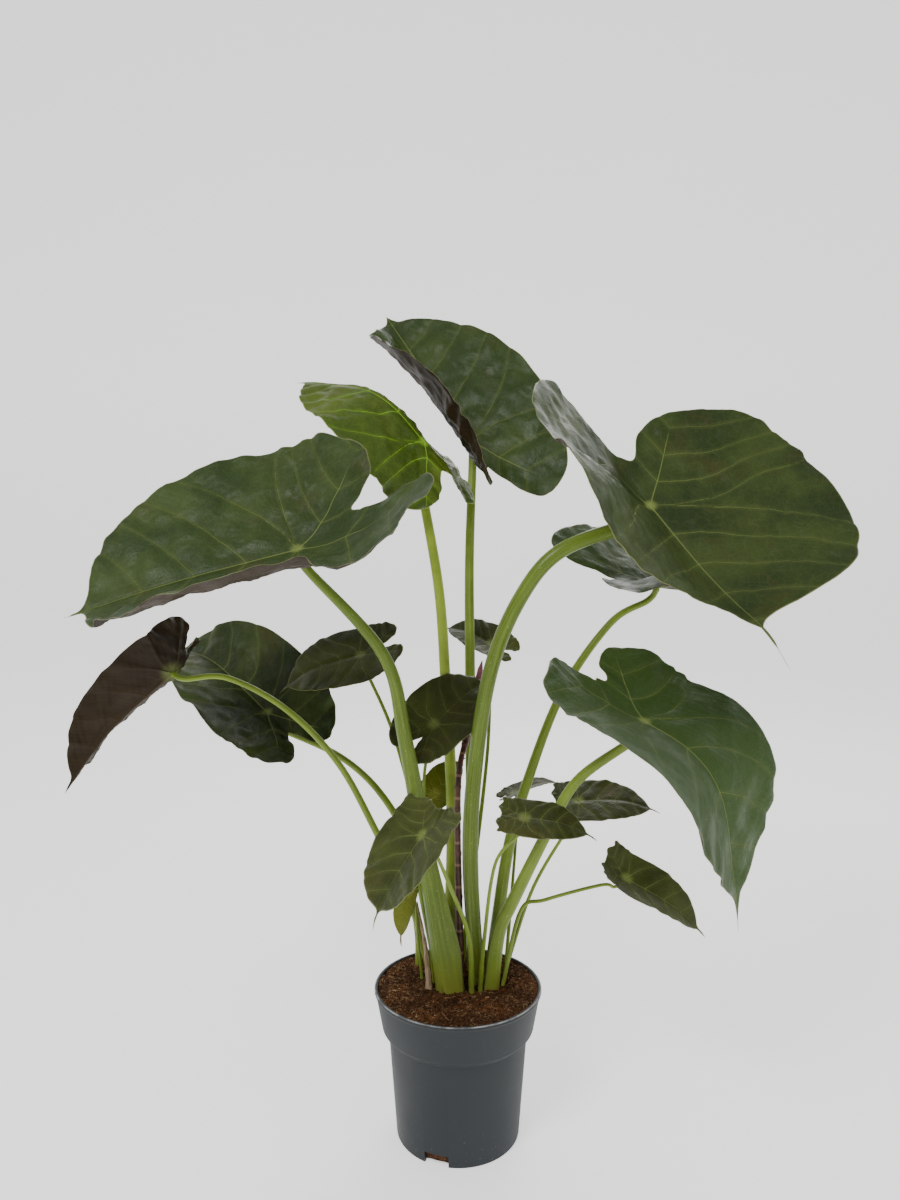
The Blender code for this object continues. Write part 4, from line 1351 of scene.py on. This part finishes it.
class ALOCASIA_OT_large_blades(bpy.types.Operator):
    """Make the blades of the large leaves"""

    bl_idname = "alocasia.large_blades"
    bl_label = "Large blades"

    def execute(self, context):
        settings = context.scene.alocasia_leaves
        for leaf in LARGE_LEAVES:
            make_blade(leaf, settings, settings.rings)
        return {"FINISHED"}


class ALOCASIA_OT_small_blades(bpy.types.Operator):
    """Make the blades of the small leaves"""

    bl_idname = "alocasia.small_blades"
    bl_label = "Small blades"

    def execute(self, context):
        settings = context.scene.alocasia_leaves
        for leaf in SMALL_LEAVES:
            make_blade(leaf, settings, settings.rings // 3)
        return {"FINISHED"}


class ALOCASIA_OT_stalks(bpy.types.Operator):
    """Make the stalk of every leaf"""

    bl_idname = "alocasia.stalks"
    bl_label = "Leaf stalks"

    def execute(self, context):
        for leaf in LARGE_LEAVES + SMALL_LEAVES:
            make_stalk(leaf)
        return {"FINISHED"}


class ALOCASIA_OT_spear(bpy.types.Operator):
    """Make the rolled new leaf"""

    bl_idname = "alocasia.spear"
    bl_label = "Rolled new leaf"

    def execute(self, context):
        make_spear()
        return {"FINISHED"}


class ALOCASIA_OT_dry_sheath(bpy.types.Operator):
    """Make the dry sheath of an old stalk"""

    bl_idname = "alocasia.dry_sheath"
    bl_label = "Dry sheath"

    def execute(self, context):
        make_dry_sheath()
        return {"FINISHED"}


class ALOCASIA_OT_side_shoot(bpy.types.Operator):
    """Make the short side shoot"""

    bl_idname = "alocasia.side_shoot"
    bl_label = "Side shoot"

    def execute(self, context):
        make_side_shoot()
        return {"FINISHED"}


class ALOCASIA_OT_stage(bpy.types.Operator):
    """Make the floor, the lights and the camera"""

    bl_idname = "alocasia.stage"
    bl_label = "Stage"

    def execute(self, context):
        make_stage()
        return {"FINISHED"}


OPERATORS = (ALOCASIA_OT_stage, ALOCASIA_OT_pot, ALOCASIA_OT_soil, ALOCASIA_OT_litter,
             ALOCASIA_OT_large_blades, ALOCASIA_OT_small_blades, ALOCASIA_OT_stalks,
             ALOCASIA_OT_spear, ALOCASIA_OT_dry_sheath, ALOCASIA_OT_side_shoot)


class ALOCASIA_PT_panel(bpy.types.Panel):
    """Lists the pieces of the plant and their settings"""

    bl_idname = "ALOCASIA_PT_panel"
    bl_label = "Potted alocasia"
    bl_space_type = "VIEW_3D"
    bl_region_type = "UI"
    bl_category = "Alocasia"

    def draw(self, context):
        for name, group in SETTINGS.items():
            box = self.layout.box()
            for key in group.__annotations__:
                box.prop(getattr(context.scene, name), key)
        for operator in OPERATORS:
            self.layout.operator(operator.bl_idname)


SETTINGS = {"alocasia_pot": PotSettings, "alocasia_soil": SoilSettings,
            "alocasia_leaves": LeafSettings, "alocasia_stalks": StalkSettings}


def register():
    for name, group in SETTINGS.items():
        bpy.utils.register_class(group)
        setattr(bpy.types.Scene, name, PointerProperty(type=group))
    for made in (*OPERATORS, ALOCASIA_PT_panel):
        bpy.utils.register_class(made)


def unregister():
    for made in (ALOCASIA_PT_panel, *reversed(OPERATORS)):
        bpy.utils.unregister_class(made)
    for name, group in reversed(SETTINGS.items()):
        delattr(bpy.types.Scene, name)
        bpy.utils.unregister_class(group)


def main():
    register()
    for operator in OPERATORS:
        group, name = operator.bl_idname.split(".")
        getattr(getattr(bpy.ops, group), name)()
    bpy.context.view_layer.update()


if __name__ == "__main__":
    main()
